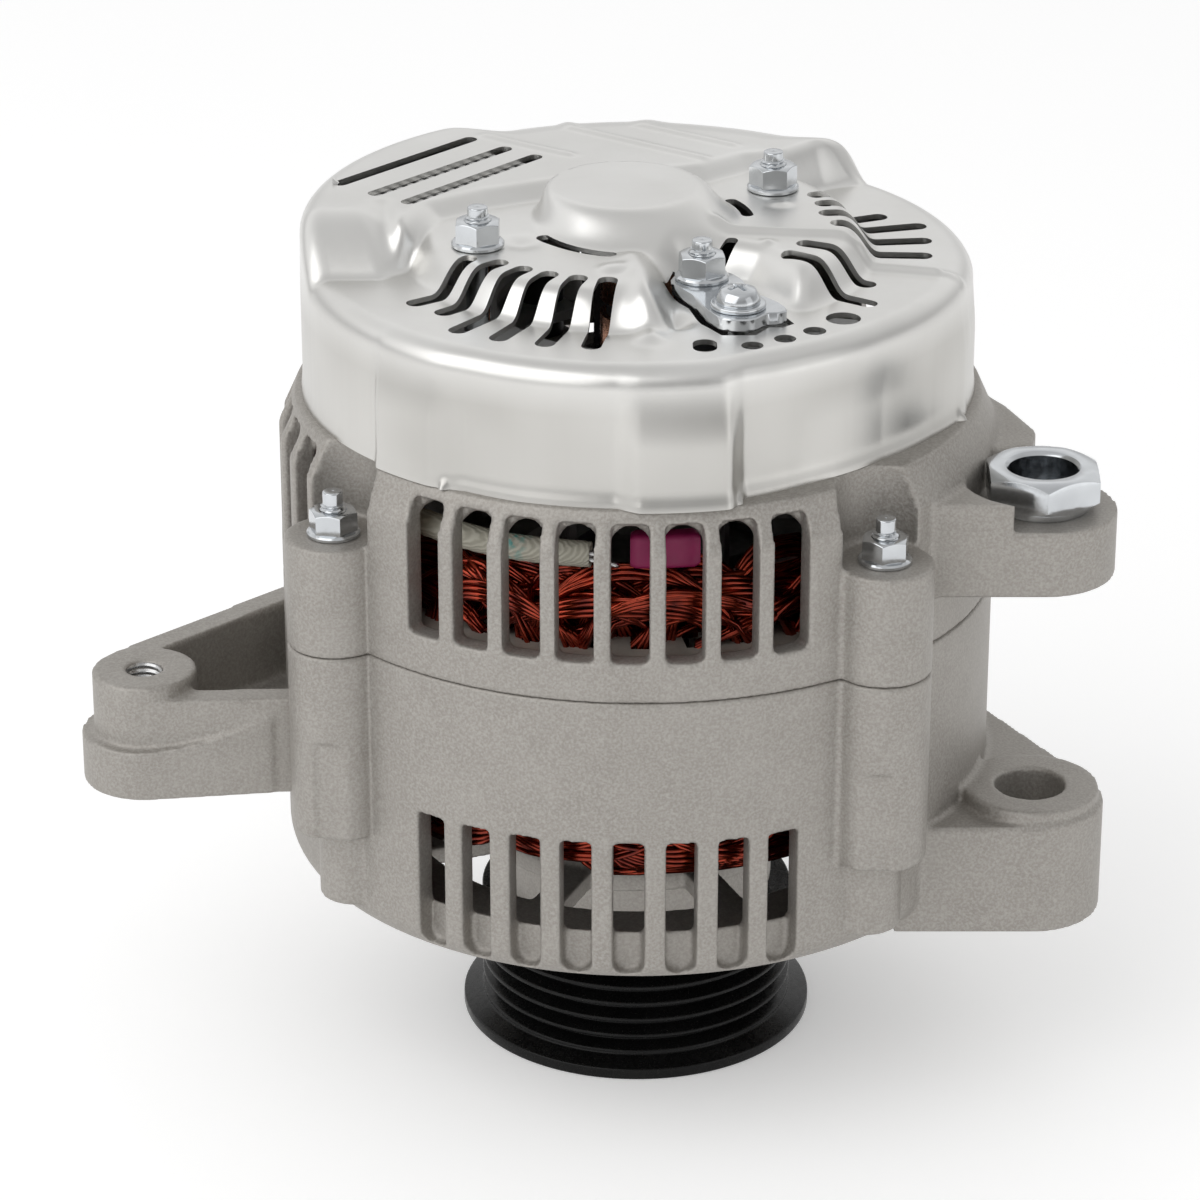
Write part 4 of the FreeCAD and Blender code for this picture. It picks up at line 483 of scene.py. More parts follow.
# Outlines in the plan: the raised plateau, the bay round the terminal and the terminal's window
PLATEAU_EDGE = ((-80.0, -16.0), (-48.0, -16.0), (-41.0, -10.0), (-37.0, 0.0), (-28.0, 6.5),
                (-12.0, 14.0), (14.0, 22.0), (22.0, 28.5), (31.0, 30.0), (37.0, 36.0), (49.0, 41.5),
                (70.0, 60.0), (70.0, 90.0), (-80.0, 90.0))
BAY_EDGE = ((5.0, -50.0), (6.5, -30.0), (6.0, -22.0), (9.0, -17.0), (14.5, -16.0), (20.0, -19.0),
            (24.5, -26.0), (29.0, -34.0), (38.0, -50.0))
WINDOW_EDGE = ((4.6, -24.0), (6.5, -18.5), (11.5, -16.2), (16.8, -18.2), (19.5, -23.0), (20.3, -28.6),
               (25.6, -34.9), (27.6, -39.7), (25.6, -41.5), (23.2, -41.3), (20.6, -45.5), (14.8, -45.5),
               (11.4, -39.7), (9.2, -31.6))
SLOT_WIDTH = 3.7
LONG_SLOT_WIDTH = 3.0
# Slots as (angle, inner radius, outer radius), long slots by their two ends
FRONT_SLOTS = ((-145.0, 38.8, 52.0), (-136.6, 35.7, 51.0), (-127.4, 35.3, 56.0), (-118.4, 35.1, 55.3),
               (-109.0, 34.8, 54.6), (-99.8, 34.5, 53.8))
SIDE_SLOTS = ((-34.8, 34.1, 52.8), (-23.9, 34.0, 48.0), (-3.0, 38.0, 55.6), (6.0, 36.2, 56.3),
              (14.8, 36.7, 57.4), (22.9, 37.2, 52.3))
LONG_SLOTS = (((-57.0, 13.6), (-33.0, 40.6)), ((-50.0, 7.6), (-26.0, 34.6)), ((-43.5, 2.6), (-20.0, 29.6)))
ARC_SLOT_RADIUS = 20.8
ARC_SLOT_WIDTH = 2.4
ARC_SLOTS = ((-150.0, -105.0), (-65.0, -34.0), (8.0, 31.0))
# Holes as (x, y, radius), and one short slot
SHELF_HOLES = ((20.0, -51.0, 2.0), (26.0, -47.5, 2.0), (31.5, -43.5, 2.1), (37.0, -37.0, 3.2))
SHORT_SLOT = ((11.5, -50.0), (11.5, -52.0))
SHORT_SLOT_RADIUS = 2.2
NUT_PLACES = ((-30.0, -15.0), (26.0, 18.0), (11.5, -22.5))
STUD_HOLE_RADIUS = 2.8
# Pressed ribs with their (width, height), then pips and hollows as (x, y, width, height)
BEADS = (((-1.5, -22.5), (0.0, -30.0), (1.5, -41.0), (1.8, -48.0)),
         ((15.0, -6.5), (30.0, -8.5), (42.0, -9.5)),
         ((42.0, -9.5), (49.0, -11.0), (56.0, -12.8)), ((13.0, 29.0), (-2.0, 40.0), (-17.0, 51.0)),
         ((19.0, 37.0), (7.0, 45.5), (-5.0, 54.0)), ((-13.0, 31.0), (-22.0, 37.0), (-30.0, 43.0)))
BEAD_SIZES = ((2.4, 1.3), (1.2, 1.5), (1.0, 1.6), (0.8, 0.7), (0.8, 0.7), (0.8, 0.7))
PIPS = ((-5.0, -28.0, 2.4, 0.9), (27.0, 9.0, 2.0, 0.6), (24.0, -13.0, 1.1, 0.8))
HOLLOWS = ((-4.5, -40.5, 3.4, 2.2), (6.3, -38.0, 3.0, 2.0), (-22.0, -13.5, 3.0, 0.8))


def to_polyline(x, y, corners):
    """distance from points to an open line"""
    best = np.full(np.shape(x), 1e9)
    for (ax, ay), (bx, by) in zip(corners, corners[1:]):
        dx, dy = bx - ax, by - ay
        share = np.clip(((x - ax) * dx + (y - ay) * dy) / (dx * dx + dy * dy), 0, 1)
        best = np.minimum(best, np.hypot(x - ax - share * dx, y - ay - share * dy))
    return best


def to_polygon(x, y, corners):
    """distance from points to a closed outline, less than zero inside"""
    far = to_polyline(x, y, tuple(corners) + (corners[0],))
    inside = np.zeros(np.shape(x), bool)
    for (ax, ay), (bx, by) in zip(corners, corners[1:] + corners[:1]):
        crosses = (ay > y) != (by > y)
        slope = (bx - ax) / (by - ay) if by != ay else 0.0
        inside ^= crosses & (x < ax + (y - ay) * slope)
    return np.where(inside, -far, far)


def soft_max(first, second, soft):
    share = np.clip(0.5 + (first - second) / (2 * soft), 0, 1)
    return second + (first - second) * share + soft * share * (1 - share)


def fall(share):
    """from 1 at the top of a pressed step to 0 at its foot, with the wider round at the top"""
    return 1.0 - smooth_step(np.clip(share, 0, 1) ** 1.5)


def cover_height(x, y):
    """the pressed form with its creases rounded off"""
    total = 2.0 * pressed_height(x, y)
    for index in range(6):
        across, along = plan_point(CREASE_ROUND, 60.0 * index)
        total = total + pressed_height(x + across, y + along)
    return total / 8.0


def pressed_height(x, y):
    reach = np.hypot(x, y)
    disc = soft_max(reach - DISC_EDGE, -to_polygon(x, y, BAY_EDGE) - 0.5, 3.0)
    height = SHELF + (DISC - SHELF) * fall((disc + DISC_SLOPE) / DISC_SLOPE)
    edge = to_polygon(x, y, PLATEAU_EDGE)
    scoop = smooth_step((-x - 44.0) / 5.0) * smooth_step((12.0 - y) / 10.0)
    wide = 5.5 + 10.0 * scoop + 3.5 * smooth_step((x - 36.0) / 8.0)
    low = np.minimum(height, PLATEAU)
    share = np.clip((edge + wide) / wide, 0, 1)
    raised = low + (PLATEAU - low) * (fall(share) * (1 - scoop) + (1 - share ** 1.9) * scoop)
    height = soft_max(height, raised, 0.3)
    dome = np.hypot(x, y) - DOME_RADIUS
    crown = np.hypot(x - DOME_TOP_PLACE[0], y - DOME_TOP_PLACE[1]) - DOME_TOP_RADIUS
    share = np.clip(crown / np.maximum(crown - dome, 0.5), 0, 1)
    height = soft_max(height, height + (DOME - height) * (1 - smooth_step(share)), 0.2)
    for line, (wide, tall) in zip(BEADS, BEAD_SIZES):
        height = height + tall * np.exp(-(to_polyline(x, y, line) / wide) ** 2)
    for px, py, wide, tall in PIPS:
        height = height + tall * np.exp(-(np.hypot(x - px, y - py) / wide) ** 4)
    for px, py, wide, deep in HOLLOWS:
        height = height - deep * np.exp(-(np.hypot(x - px, y - py) / wide) ** 2)
    return height


def round_radius(angles, places, blur):
    """a wall radius from a few places, rounded at its corners"""
    at = [angle for angle, _ in places]
    radii = [radius for _, radius in places]
    offsets = np.arange(-4, 5) * blur / 2
    weights = np.exp(-(offsets / blur) ** 2)
    total = sum(weight * np.interp((angles + offset) % 360, at, radii, period=360)
                for offset, weight in zip(offsets, weights))
    return total / weights.sum()


def slot_distance(x, y):
    """distance to the nearest slot or hole in the plan, less than zero inside"""
    gaps = []
    for angle, start, end in FRONT_SLOTS + SIDE_SLOTS:
        line = (plan_point(start, angle), plan_point(end - SLOT_WIDTH / 2, angle))
        gaps.append(to_polyline(x, y, line) - SLOT_WIDTH / 2)
    for line in LONG_SLOTS:
        gaps.append(to_polyline(x, y, line) - LONG_SLOT_WIDTH / 2)
    for start, end in ARC_SLOTS:
        line = [plan_point(ARC_SLOT_RADIUS, angle) for angle in np.linspace(start, end, 9)]
        gaps.append(to_polyline(x, y, line) - ARC_SLOT_WIDTH / 2)
    for px, py, radius in SHELF_HOLES:
        gaps.append(np.hypot(x - px, y - py) - radius)
    gaps.append(to_polyline(x, y, SHORT_SLOT) - SHORT_SLOT_RADIUS)
    for px, py in NUT_PLACES[:2]:
        gaps.append(np.hypot(x - px, y - py) - STUD_HOLE_RADIUS)
    gaps.append(to_polygon(x, y, WINDOW_EDGE) - 0.3)
    return np.minimum.reduce(gaps)


def wall_rows(angles, turn):
    """(radius, height) rows from the rim up the wall and over the shoulder, and the brim where they end"""
    wall = round_radius(angles, WALL_PLACES, 0.7)
    crown = round_radius(angles, CROWN_PLACES, 2.5)
    shoulder = round_radius(angles, SHOULDER_PLACES, 1.5)
    brim = crown - shoulder
    brim_height = cover_height(brim * np.cos(turn), brim * np.sin(turn))
    front = smooth_step((angles - 236) / 4) * smooth_step((346 - angles) / 4)
    rows = []
    for share in np.linspace(0, 1, 36):
        height = RIM_LOW + (brim_height - shoulder - RIM_LOW) * share
        fade = smooth_step((height - (brim_height - 15.0)) / 12.0)
        radius = wall + (crown - wall) * fade * 0.85
        rise = height - RIM_LOW
        flare = (0.3 + 0.6 * front) * np.exp(-(rise / 2.0) ** 2)
        for tab in RIM_TABS:
            flare = flare + 1.2 * np.exp(-((angles - tab) / 0.7) ** 2) * np.exp(-(rise / 1.3) ** 2)
        rows.append((radius + flare, height))
    top_radius = rows[-1][0]
    for bend in np.linspace(0, 90, 9)[1:]:
        lean = math.radians(bend)
        radius = top_radius + (brim - top_radius) * (1 - math.cos(lean))
        rows.append((radius, brim_height - shoulder + shoulder * math.sin(lean)))
    return rows, brim


def slot_gaps(x, y, height, step):
    """each point's distance to a slot, once the points next to an edge are moved onto it"""
    gap = slot_distance(x, y)
    near = (gap > -1.5 * step) & (gap < 0.5 * step)
    tiny = 0.01
    slope_x = (slot_distance(x[near] + tiny, y[near]) - gap[near]) / tiny
    slope_y = (slot_distance(x[near], y[near] + tiny) - gap[near]) / tiny
    x[near] -= gap[near] * slope_x
    y[near] -= gap[near] * slope_y
    height[near] = cover_height(x[near], y[near])
    gap[near] = 0.0
    return gap


def make_rear_cover():
    """rings of points from the rim up the wall and in over the top, with no faces in the slots"""
    columns, step = ((900, 0.5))
    angles = np.linspace(0, 360, columns, endpoint=False)
    turn = np.radians(angles)
    rows, brim = wall_rows(angles, turn)
    top = len(rows)
    count = int(brim.max() / step)
    for index in range(1, count + 1):
        radius = brim + (COVER_MIDDLE - brim) * index / count
        rows.append((radius, cover_height(radius * np.cos(turn), radius * np.sin(turn))))
    radius = np.array([row[0] for row in rows])
    height = np.array([row[1] for row in rows])
    x, y = radius * np.cos(turn), radius * np.sin(turn)
    open_points = np.zeros(x.shape, bool)
    open_points[top:] = slot_gaps(x[top:], y[top:], height[top:], step) <= 0.0
    open_points |= (np.abs(x) < SOCKET_HALF_WIDTH) & (y > SOCKET_BACK) & (height < SOCKET_TOP)
    is_open = open_points.ravel()
    faces = [face for face in grid_faces(len(rows), columns, wrap=True) if not is_open[list(face)].all()]
    faces.append(end_faces(len(rows), columns)[1])
    points = np.stack([x, y, height], -1).reshape(-1, 3)
    piece = add_form("pressed_cover", (points, faces), "pressed_aluminium", ("rear_cover",))
    without_loose_points(piece.data)
    thickened(piece, SHEET)
    piece.data.shade_smooth()
    piece.data.set_sharp_from_angle(angle=math.radians(50))


def applied(piece):
    """the piece with its modifiers made final"""
    bpy.context.view_layer.update()
    graph = bpy.context.evaluated_depsgraph_get()
    mesh = bpy.data.meshes.new_from_object(piece.evaluated_get(graph))
    piece.modifiers.clear()
    piece.data = mesh


def without_loose_points(mesh):
    work = bmesh.new()
    work.from_mesh(mesh)
    bmesh.ops.delete(work, geom=[point for point in work.verts if not point.link_faces], context="VERTS")
    work.to_mesh(mesh)
    work.free()


def thickened(piece, thickness):
    """a surface made into a sheet, inwards from where it is"""
    shell = piece.modifiers.new("sheet", "SOLIDIFY")
    shell.thickness = thickness * MM
    shell.offset = -1.0
    applied(piece)


# Windings: wires laid from slot to slot over the ends of the core


def tube(path, radius, sides=6, capped=False):
    """points and faces of a round wire along a path"""
    path = np.asarray(path, float)
    ahead = np.gradient(path, axis=0)
    ahead /= np.linalg.norm(ahead, axis=1, keepdims=True)
    out = path * (1.0, 1.0, 0.0)
    out /= np.maximum(np.linalg.norm(out, axis=1, keepdims=True), 1e-9)
    side = np.cross(ahead, out)
    lengths = np.linalg.norm(side, axis=1, keepdims=True)
    side = np.where(lengths > 0.05, side / np.maximum(lengths, 1e-9), (0.0, 0.0, 1.0))
    other = np.cross(side, ahead)
    turns = np.linspace(0, 2 * math.pi, sides, endpoint=False)
    points = []
    for place, first, second in zip(path, side, other):
        for turn in turns:
            points.append(place + radius * (math.cos(turn) * first + math.sin(turn) * second))
    faces = grid_faces(len(path), sides, wrap=True)
    if capped:
        faces += end_faces(len(path), sides)
    return points, faces


WINDING_INNER = 48.8
WIRE_RADIUS = 0.56
WIRE_PITCH = 1.2
SLOT_COUNT = 36
SLOT_PITCH = 10.0
LAYER_TURN = 3.4
CROWN_CORNER = 4.5
LAYER_DEPTH = 2.9
BUNDLE_LAYERS = 3
# Places of a bundle's wires in its section, in wire pitches: a flat band two deep
BUNDLE_SECTION = ((-1.7, -0.45), (-0.7, -0.45), (0.3, -0.45), (1.3, -0.45),
                  (-1.2, 0.42), (-0.2, 0.42), (0.8, 0.42), (1.8, 0.42))


def winding_head(draw, root, tip, outer):
    """flat bundles of wire that rise from one slot, lean over the end and drop into another"""
    parts = []
    up = math.copysign(1.0, tip - root)
    tall = abs(tip - root) - WIRE_RADIUS
    for layer in range(BUNDLE_LAYERS):
        for bundle in range(SLOT_COUNT):
            start = bundle * SLOT_PITCH + layer * LAYER_TURN + draw.uniform(-1.5, 1.5)
            span = draw.choice((3, 3, 4, 5)) * SLOT_PITCH
            reach = draw.uniform(0.42, 0.97)
            depth = outer - 1.4 - layer * LAYER_DEPTH - draw.uniform(0.0, 1.6)
            sway = draw.uniform(-1.3, 1.3)
            lean = draw.uniform(-0.9, 0.9)
            twist = draw.uniform(-0.22, 0.22)
            skew = draw.uniform(0.35, 0.65)
            for across, deep in BUNDLE_SECTION:
                across += draw.uniform(-0.16, 0.16)
                path = []
                for share in np.linspace(0, 1, 17):
                    warped = share ** (math.log(0.5) / math.log(skew))
                    rise = math.sin(math.pi * warped) ** 0.55
                    tilt = lean + 2 * math.pi * twist * (share - 0.5)
                    over = WIRE_PITCH * (across * math.cos(tilt) - deep * math.sin(tilt))
                    out = WIRE_PITCH * (across * math.sin(tilt) + deep * math.cos(tilt))
                    level = min(tall, max(0.0, tall * reach * rise + over * rise))
                    radius = depth + sway * rise + out
                    limit = outer - WIRE_RADIUS - max(0.0, level + CROWN_CORNER - tall)
                    radius = min(limit, max(WINDING_INNER + WIRE_RADIUS, radius))
                    fan = (1 - rise) * over / outer
                    turn = math.radians(start + span * share) + (fan if share < 0.5 else -fan)
                    path.append((radius * math.cos(turn), radius * math.sin(turn), root + up * level))
                parts.append(tube(path, WIRE_RADIUS))
    return parts


def ring_core(outer, low, high):
    """the dark wires behind, as one ring"""
    inner, outer = WINDING_INNER + 1.5, outer - 7.5
    return turned([(inner, low), (outer, low), (outer, high), (inner, high)], 72)


def make_windings():
    draw = random.Random(7)
    low, high = node_box("stator_winding")
    core_low, core_high = node_box("stator_core")
    outer = high[0]
    parts = [ring_core(outer, core_high[2] - 1.0, high[2] - 4.5),
             ring_core(outer, low[2] + 4.5, core_low[2] + 1.0)]
    parts += winding_head(draw, core_high[2] - 0.5, high[2], outer)
    parts += winding_head(draw, core_low[2] + 0.5, low[2], outer)
    add_form("wound_wires", merged(parts), "enamelled_copper", ("stator_winding",))


def make_lead_sleeve():
    """a loose braided sleeve with an uneven surface and open ends"""
    draw = random.Random(3)
    rings, sides = 60, 24
    path = []
    for share in np.linspace(0, 1, rings):
        wave = 0.12 * math.sin(7 * share + 1)
        path.append(sleeve_point(SLEEVE_START + (SLEEVE_END - SLEEVE_START) * share, SLEEVE_HEIGHT + wave))
    points, faces = tube(path, SLEEVE_RADIUS, sides)
    points = np.array(points)
    centre = np.repeat(np.array(path), sides, axis=0)
    rows = np.repeat(np.arange(rings), sides)
    ripple = np.array([1.0 + 0.025 * math.sin(0.9 * row + 2.0 * index) + draw.uniform(-0.02, 0.01)
                       for index, row in enumerate(rows)])
    frayed = np.array([draw.uniform(0.86, 1.02) for _ in rows])
    ripple = np.where(rows >= rings - 2, frayed, ripple)
    ripple = np.where(rows <= 1, ripple * 0.85, ripple)
    points = centre + (points - centre) * ripple[:, None]
    piece = add_form("braided_sleeve", (points, faces), "glass_sleeve", ("lead_sleeve",))
    thickened(piece, BRAID_THICKNESS)
    leads = []
    for side, length, drop in LEAD_ENDS:
        lead = []
        for share in np.linspace(0, 1, 12):
            angle = SLEEVE_END - 3.0 + (length + 3.0) * share
            radius = SLEEVE_CIRCLE + 0.3 - 0.8 * share
            lead.append((*plan_point(radius, angle), SLEEVE_HEIGHT + side - drop * share ** 2))
        leads.append(tube(lead, LEAD_RADIUS, 10, capped=True))
    add_form("lead_end", merged(leads), "bearing_steel")


CLIP_RADII = (54.6, 58.6)
CLIP_ANGLES = (-91.8, -79.2)


def make_lead_clip():
    """a moulded block bent with the winding, its ends drawn in"""
    low, high = node_box("lead_clip")
    rows = []
    inner, outer = CLIP_RADII
    profile = rounded([(inner, low[2]), (outer, low[2]), (outer, high[2]), (inner, high[2])], 1.1, 4)
    angles = np.linspace(*CLIP_ANGLES, 15)
    for index, angle in enumerate(angles):
        shrink = 0.85 if index in (0, len(angles) - 1) else 1.0
        middle = np.array([(inner + outer) / 2, (low[2] + high[2]) / 2])
        for corner in profile:
            radius, height = middle + (np.array(corner) - middle) * shrink
            rows.append((*plan_point(radius, angle), height))
    faces = grid_faces(len(angles), len(profile), wrap=True) + end_faces(len(angles), len(profile))
    add_form("lead_block", (rows, faces), "magenta_plastic", ("lead_clip",), crisp=60)


# Fasteners


def hexagon(width, segments):
    """the reach of a hexagon's edge at evenly spaced angles"""
    angles = np.linspace(0, 2 * math.pi, segments, endpoint=False)
    return width / 2 / np.cos((angles % (math.pi / 3)) - math.pi / 6)


def hex_nut(centre, low, height, width, hole, flange=0.0, flange_height=0.0, turn=0.0):
    """a nut with its top corners turned off, on a flange if it has one"""
    segments = 72
    flat = hexagon(width, segments)
    top = low + height
    drop = np.maximum(flat - width / 2 * 0.98, 0) * 0.6
    rows = []
    base = low + flange_height * 0.85
    if flange:
        rows += [(hole, low), (flange - 0.2, low), (flange, low + 0.2), (flange, low + flange_height * 0.5),
                 (flange - 0.3, low + flange_height * 0.75), (flat + 0.02, base)]
    else:
        rows += [(hole, low), (flat - 0.3, low), (flat, low + 0.35)]
    rows += [(flat, top - drop - 0.12), (flat - 0.08, top - drop), (width / 2 * 0.93, top),
             (hole + 0.35, top), (hole, top - 0.35)]
    return turned(rows, segments, centre, turn)


def hex_collar(centre, low, top, width, hole, turn):
    """a hexagon with turned cones at both ends and a countersunk bore"""
    segments = 144
    flat = hexagon(width, segments)
    cone = np.maximum(flat - width / 2 * 0.985, 0) * 0.65
    face = width / 2 * 0.95
    rows = [(hole, low), (face, low), (flat - 0.06, low + cone), (flat, low + cone + 0.14),
            (flat, top - cone - 0.14), (flat - 0.06, top - cone), (face, top),
            (hole + 0.7, top), (hole + 0.5, top - 0.1), (hole, top - 0.7)]
    return turned(rows, segments, centre, turn)


def thread(centre, low, high, radius, pitch, depth, inward=False):
    """a vee thread round a rod, or standing in from a hole's wall"""
    segments = 36
    rows = max(8, int((high - low) / pitch * 8))
    points = []
    for level in np.linspace(low, high, rows + 1):
        ends = min(1.0, (level - low) / pitch + 0.1, (high - level) / pitch + 0.1)
        for column in range(segments):
            angle = 2 * math.pi * column / segments
            cycle = (level / pitch - column / segments) % 1.0
            cut = depth * abs(2 * cycle - 1) * 1.15
            cut = min(max(cut - 0.08 * depth, 0.0), depth)
            reach = radius - cut if not inward else radius - (depth - cut) * ends
            if not inward:
                reach -= (1 - ends) * depth * 0.8
            points.append((centre[0] + reach * math.cos(angle), centre[1] + reach * math.sin(angle), level))
    faces = grid_faces(rows + 1, segments, wrap=True)
    if not inward:
        points.append((centre[0], centre[1], high + 0.05))
        last = rows * segments
        top = len(points) - 1
        faces += [(last + column, last + (column + 1) % segments, top) for column in range(segments)]
    return points, faces


BOLT_CIRCLE = 69.5
BOLT_ANGLES = (-50.0, -144.5, 38.0, 131.0)
BOLT_TIP_RADIUS = 1.88
BOLT_TIP_LENGTH = 2.4
THREAD_RADIUS = 2.48
THREAD_PITCH = 0.8
STUD_TIP_RADIUS = 1.9
STUD_HEIGHT = 7.6
STUD_SEAT = 166.5
NUT_WIDTH = 8.0
NUT_BORE = 2.3
NUT_FLANGE = 5.0
NUT_FLANGE_HEIGHT = 1.3
STUD_NUT_HEIGHT = 5.0


def rod(centre, radius, low, high, soft=0.0, steps=3):
    """an upright rod, with soft ends if asked"""
    profile = [(0.01, low), (radius, low), (radius, high), (0.01, high)]
    if soft:
        profile = rounded(profile, soft, steps)
    return turned(profile, 32, centre)


def flange_nut(centre, low, height, turn):
    return hex_nut(centre, low, height, NUT_WIDTH, NUT_BORE, NUT_FLANGE, NUT_FLANGE_HEIGHT, turn)


def make_through_bolts():
    """long bolts with a thread above each nut and a plain driving tip"""
    low, high = node_box("through_bolts")
    nut_low, nut_high = node_box("through_bolt_nuts")
    bolts, nuts = [], []
    for index, angle in enumerate(BOLT_ANGLES):
        centre = plan_point(BOLT_CIRCLE, angle)
        shoulder = high[2] - BOLT_TIP_LENGTH
        bolts.append(thread(centre, nut_high[2] - 3.0, shoulder - 0.05, THREAD_RADIUS, THREAD_PITCH, 0.42))
        bolts.append(rod(centre, THREAD_RADIUS - 0.03, low[2], nut_high[2] - 2.6))
        bolts.append(rod(centre, BOLT_TIP_RADIUS, shoulder - 1.0, high[2], 0.3))
        nuts.append(flange_nut(centre, nut_low[2], nut_high[2] - nut_low[2], 0.35 + 0.5 * index))
    add_form("long_bolts", merged(bolts), "zinc_steel", ("through_bolts",), crisp=35)
    add_form("flange_nuts", merged(nuts), "zinc_steel", ("through_bolt_nuts",), crisp=30)


def make_cover_fasteners():
    """three studs, the last of them through the output plate"""
    low = node_box("cover_studs")[0]
    plate_top = node_box("terminal_plate")[1][2]
    studs, nuts = [], []
    for index, centre in enumerate(NUT_PLACES):
        seat = plate_top if index == 2 else STUD_SEAT
        top = seat + STUD_HEIGHT
        studs.append(thread(centre, seat + 1.0, top - 1.6, THREAD_RADIUS, THREAD_PITCH, 0.4))
        studs.append(rod(centre, NUT_BORE, low[2], seat + 1.2, 0.1, 1))
        studs.append(rod(centre, STUD_TIP_RADIUS, top - 2.4, top, 0.3))
        nuts.append(flange_nut(centre, seat, STUD_NUT_HEIGHT, 0.5 + 0.6 * index))
    add_form("rectifier_studs", merged(studs), "zinc_steel", ("cover_studs",), crisp=35)
    add_form("stud_nuts", merged(nuts), "zinc_steel", ("cover_nuts",), crisp=30)


BUSH_BORE = 6.5
BUSH_BARREL = 7.95
BUSH_COLLAR = 9.0
BUSH_WIDTH = 20.4
BUSH_SEAT = 120.0
BUSH_HEXAGON_LOW = 121.6


def middle_of(low, high):
    return (low[0] + high[0]) / 2, (low[1] + high[1]) / 2


def make_slider_bush():
    """a hexagon on a round collar, with its barrel down in the ear"""
    low, high = node_box("slider_bush")
    centre = middle_of(low, high)
    collar_top = BUSH_HEXAGON_LOW + 0.4
    barrel = rounded([(BUSH_BORE, low[2]), (BUSH_BARREL, low[2]), (BUSH_BARREL, BUSH_SEAT),
                      (BUSH_COLLAR, BUSH_SEAT), (BUSH_COLLAR, collar_top), (BUSH_BORE, collar_top)], 0.3, 2)
    parts = [hex_collar(centre, BUSH_HEXAGON_LOW, high[2], BUSH_WIDTH, BUSH_BORE, math.pi / 6),
             turned(barrel, 72, centre)]
    add_form("sliding_bush", merged(parts), "zinc_steel", ("slider_bush",), crisp=30)


SCREW_HEAD_RADIUS = 4.1
SCREW_SHANK_RADIUS = 1.9
SCREW_RECESS_DEPTH = 1.2
WASHER_BORE = 2.1
WASHER_RADIUS = 5.1


def make_terminal_screw():
    """a pan head with a cross recess, on its washer"""
    low, high = node_box("terminal_screw")
    washer_low, washer_high = node_box("terminal_washer")
    centre = middle_of(low, high)
    radius = SCREW_HEAD_RADIUS
    seat = washer_high[2]
    rows = []
    profile = [(radius * 0.98, seat), (radius, seat + 0.3),
               (radius * 0.97, seat + 1.1), (radius * 0.86, seat + 1.8)]
    profile += [(radius * share, high[2] - 1.1 * share * share) for share in np.linspace(0.78, 0.02, 24)]
    segments = 96
    for reach, level in profile:
        for column in range(segments):
            angle = 2 * math.pi * column / segments
            x, y = reach * math.cos(angle), reach * math.sin(angle)
            u, v = x * 0.8 + y * 0.6, y * 0.8 - x * 0.6
            arm = min(abs(u), abs(v))
            long = max(abs(u), abs(v))
            deep = smooth_step((0.62 - arm) / 0.3) * smooth_step((2.3 - long) / 0.8)
            rows.append((centre[0] + x, centre[1] + y, level - SCREW_RECESS_DEPTH * float(deep)))
    faces = grid_faces(len(profile), segments, wrap=True) + end_faces(len(profile), segments)
    shank = rod(centre, SCREW_SHANK_RADIUS, low[2], seat)
    add_form("pan_screw", merged([(rows, faces), shank]), "zinc_steel", ("terminal_screw",), crisp=45)
    washer = rounded([(WASHER_BORE, washer_low[2]), (WASHER_RADIUS, washer_low[2]),
                      (WASHER_RADIUS, washer_high[2]), (WASHER_BORE, washer_high[2])], 0.35)
    add_form("pan_washer", turned(washer, 72, centre), "zinc_steel", ("terminal_washer",))


# Rectifier fins and output plate

FIN_TURN = 48.4
FIN_COUNT = 12
FIN_START = -25.5
FIN_PITCH = 2.9
FIN_THICKNESS = 1.5
FIN_INNER = 32.0
FIN_OUTER = 47.0
FIN_STEPS = 12
FIN_FOOT = 149.6
FIN_ROOM = 0.15
PLATE_GAP = 0.6
PLATE_SKIRT = 1.2
PLATE_EDGE = 0.25


def make_sink_fins():
    """cooling fins that stand on the upper rectifier plate and end close under the cover's long slots"""
    along = np.array(plan_point(1.0, FIN_TURN))
    across = np.array(plan_point(1.0, FIN_TURN + 90.0))
    parts = []
    for index in range(FIN_COUNT):
        middle = FIN_START + FIN_PITCH * index
        points = []
        for reach in np.linspace(FIN_INNER, FIN_OUTER, FIN_STEPS):
            for side in (-FIN_THICKNESS / 2, FIN_THICKNESS / 2):
                x, y = along * (middle + side) + across * reach
                top = float(cover_height(x, y)) - SHEET - FIN_ROOM
                points += [(x, y, FIN_FOOT), (x, y, top)]
        last = 4 * (FIN_STEPS - 1)
        faces = [(0, 1, 3, 2), (last, last + 2, last + 3, last + 1)]
        for row in range(FIN_STEPS - 1):
            low = row * 4
            faces += [(low, low + 4, low + 5, low + 1), (low + 1, low + 5, low + 7, low + 3),
                      (low + 3, low + 7, low + 6, low + 2), (low + 2, low + 6, low + 4, low)]
        parts.append((points, faces))
    add_object("sink_fins", mesh_from("sink_fins", *merged(parts), smooth=False), "sink_aluminium")


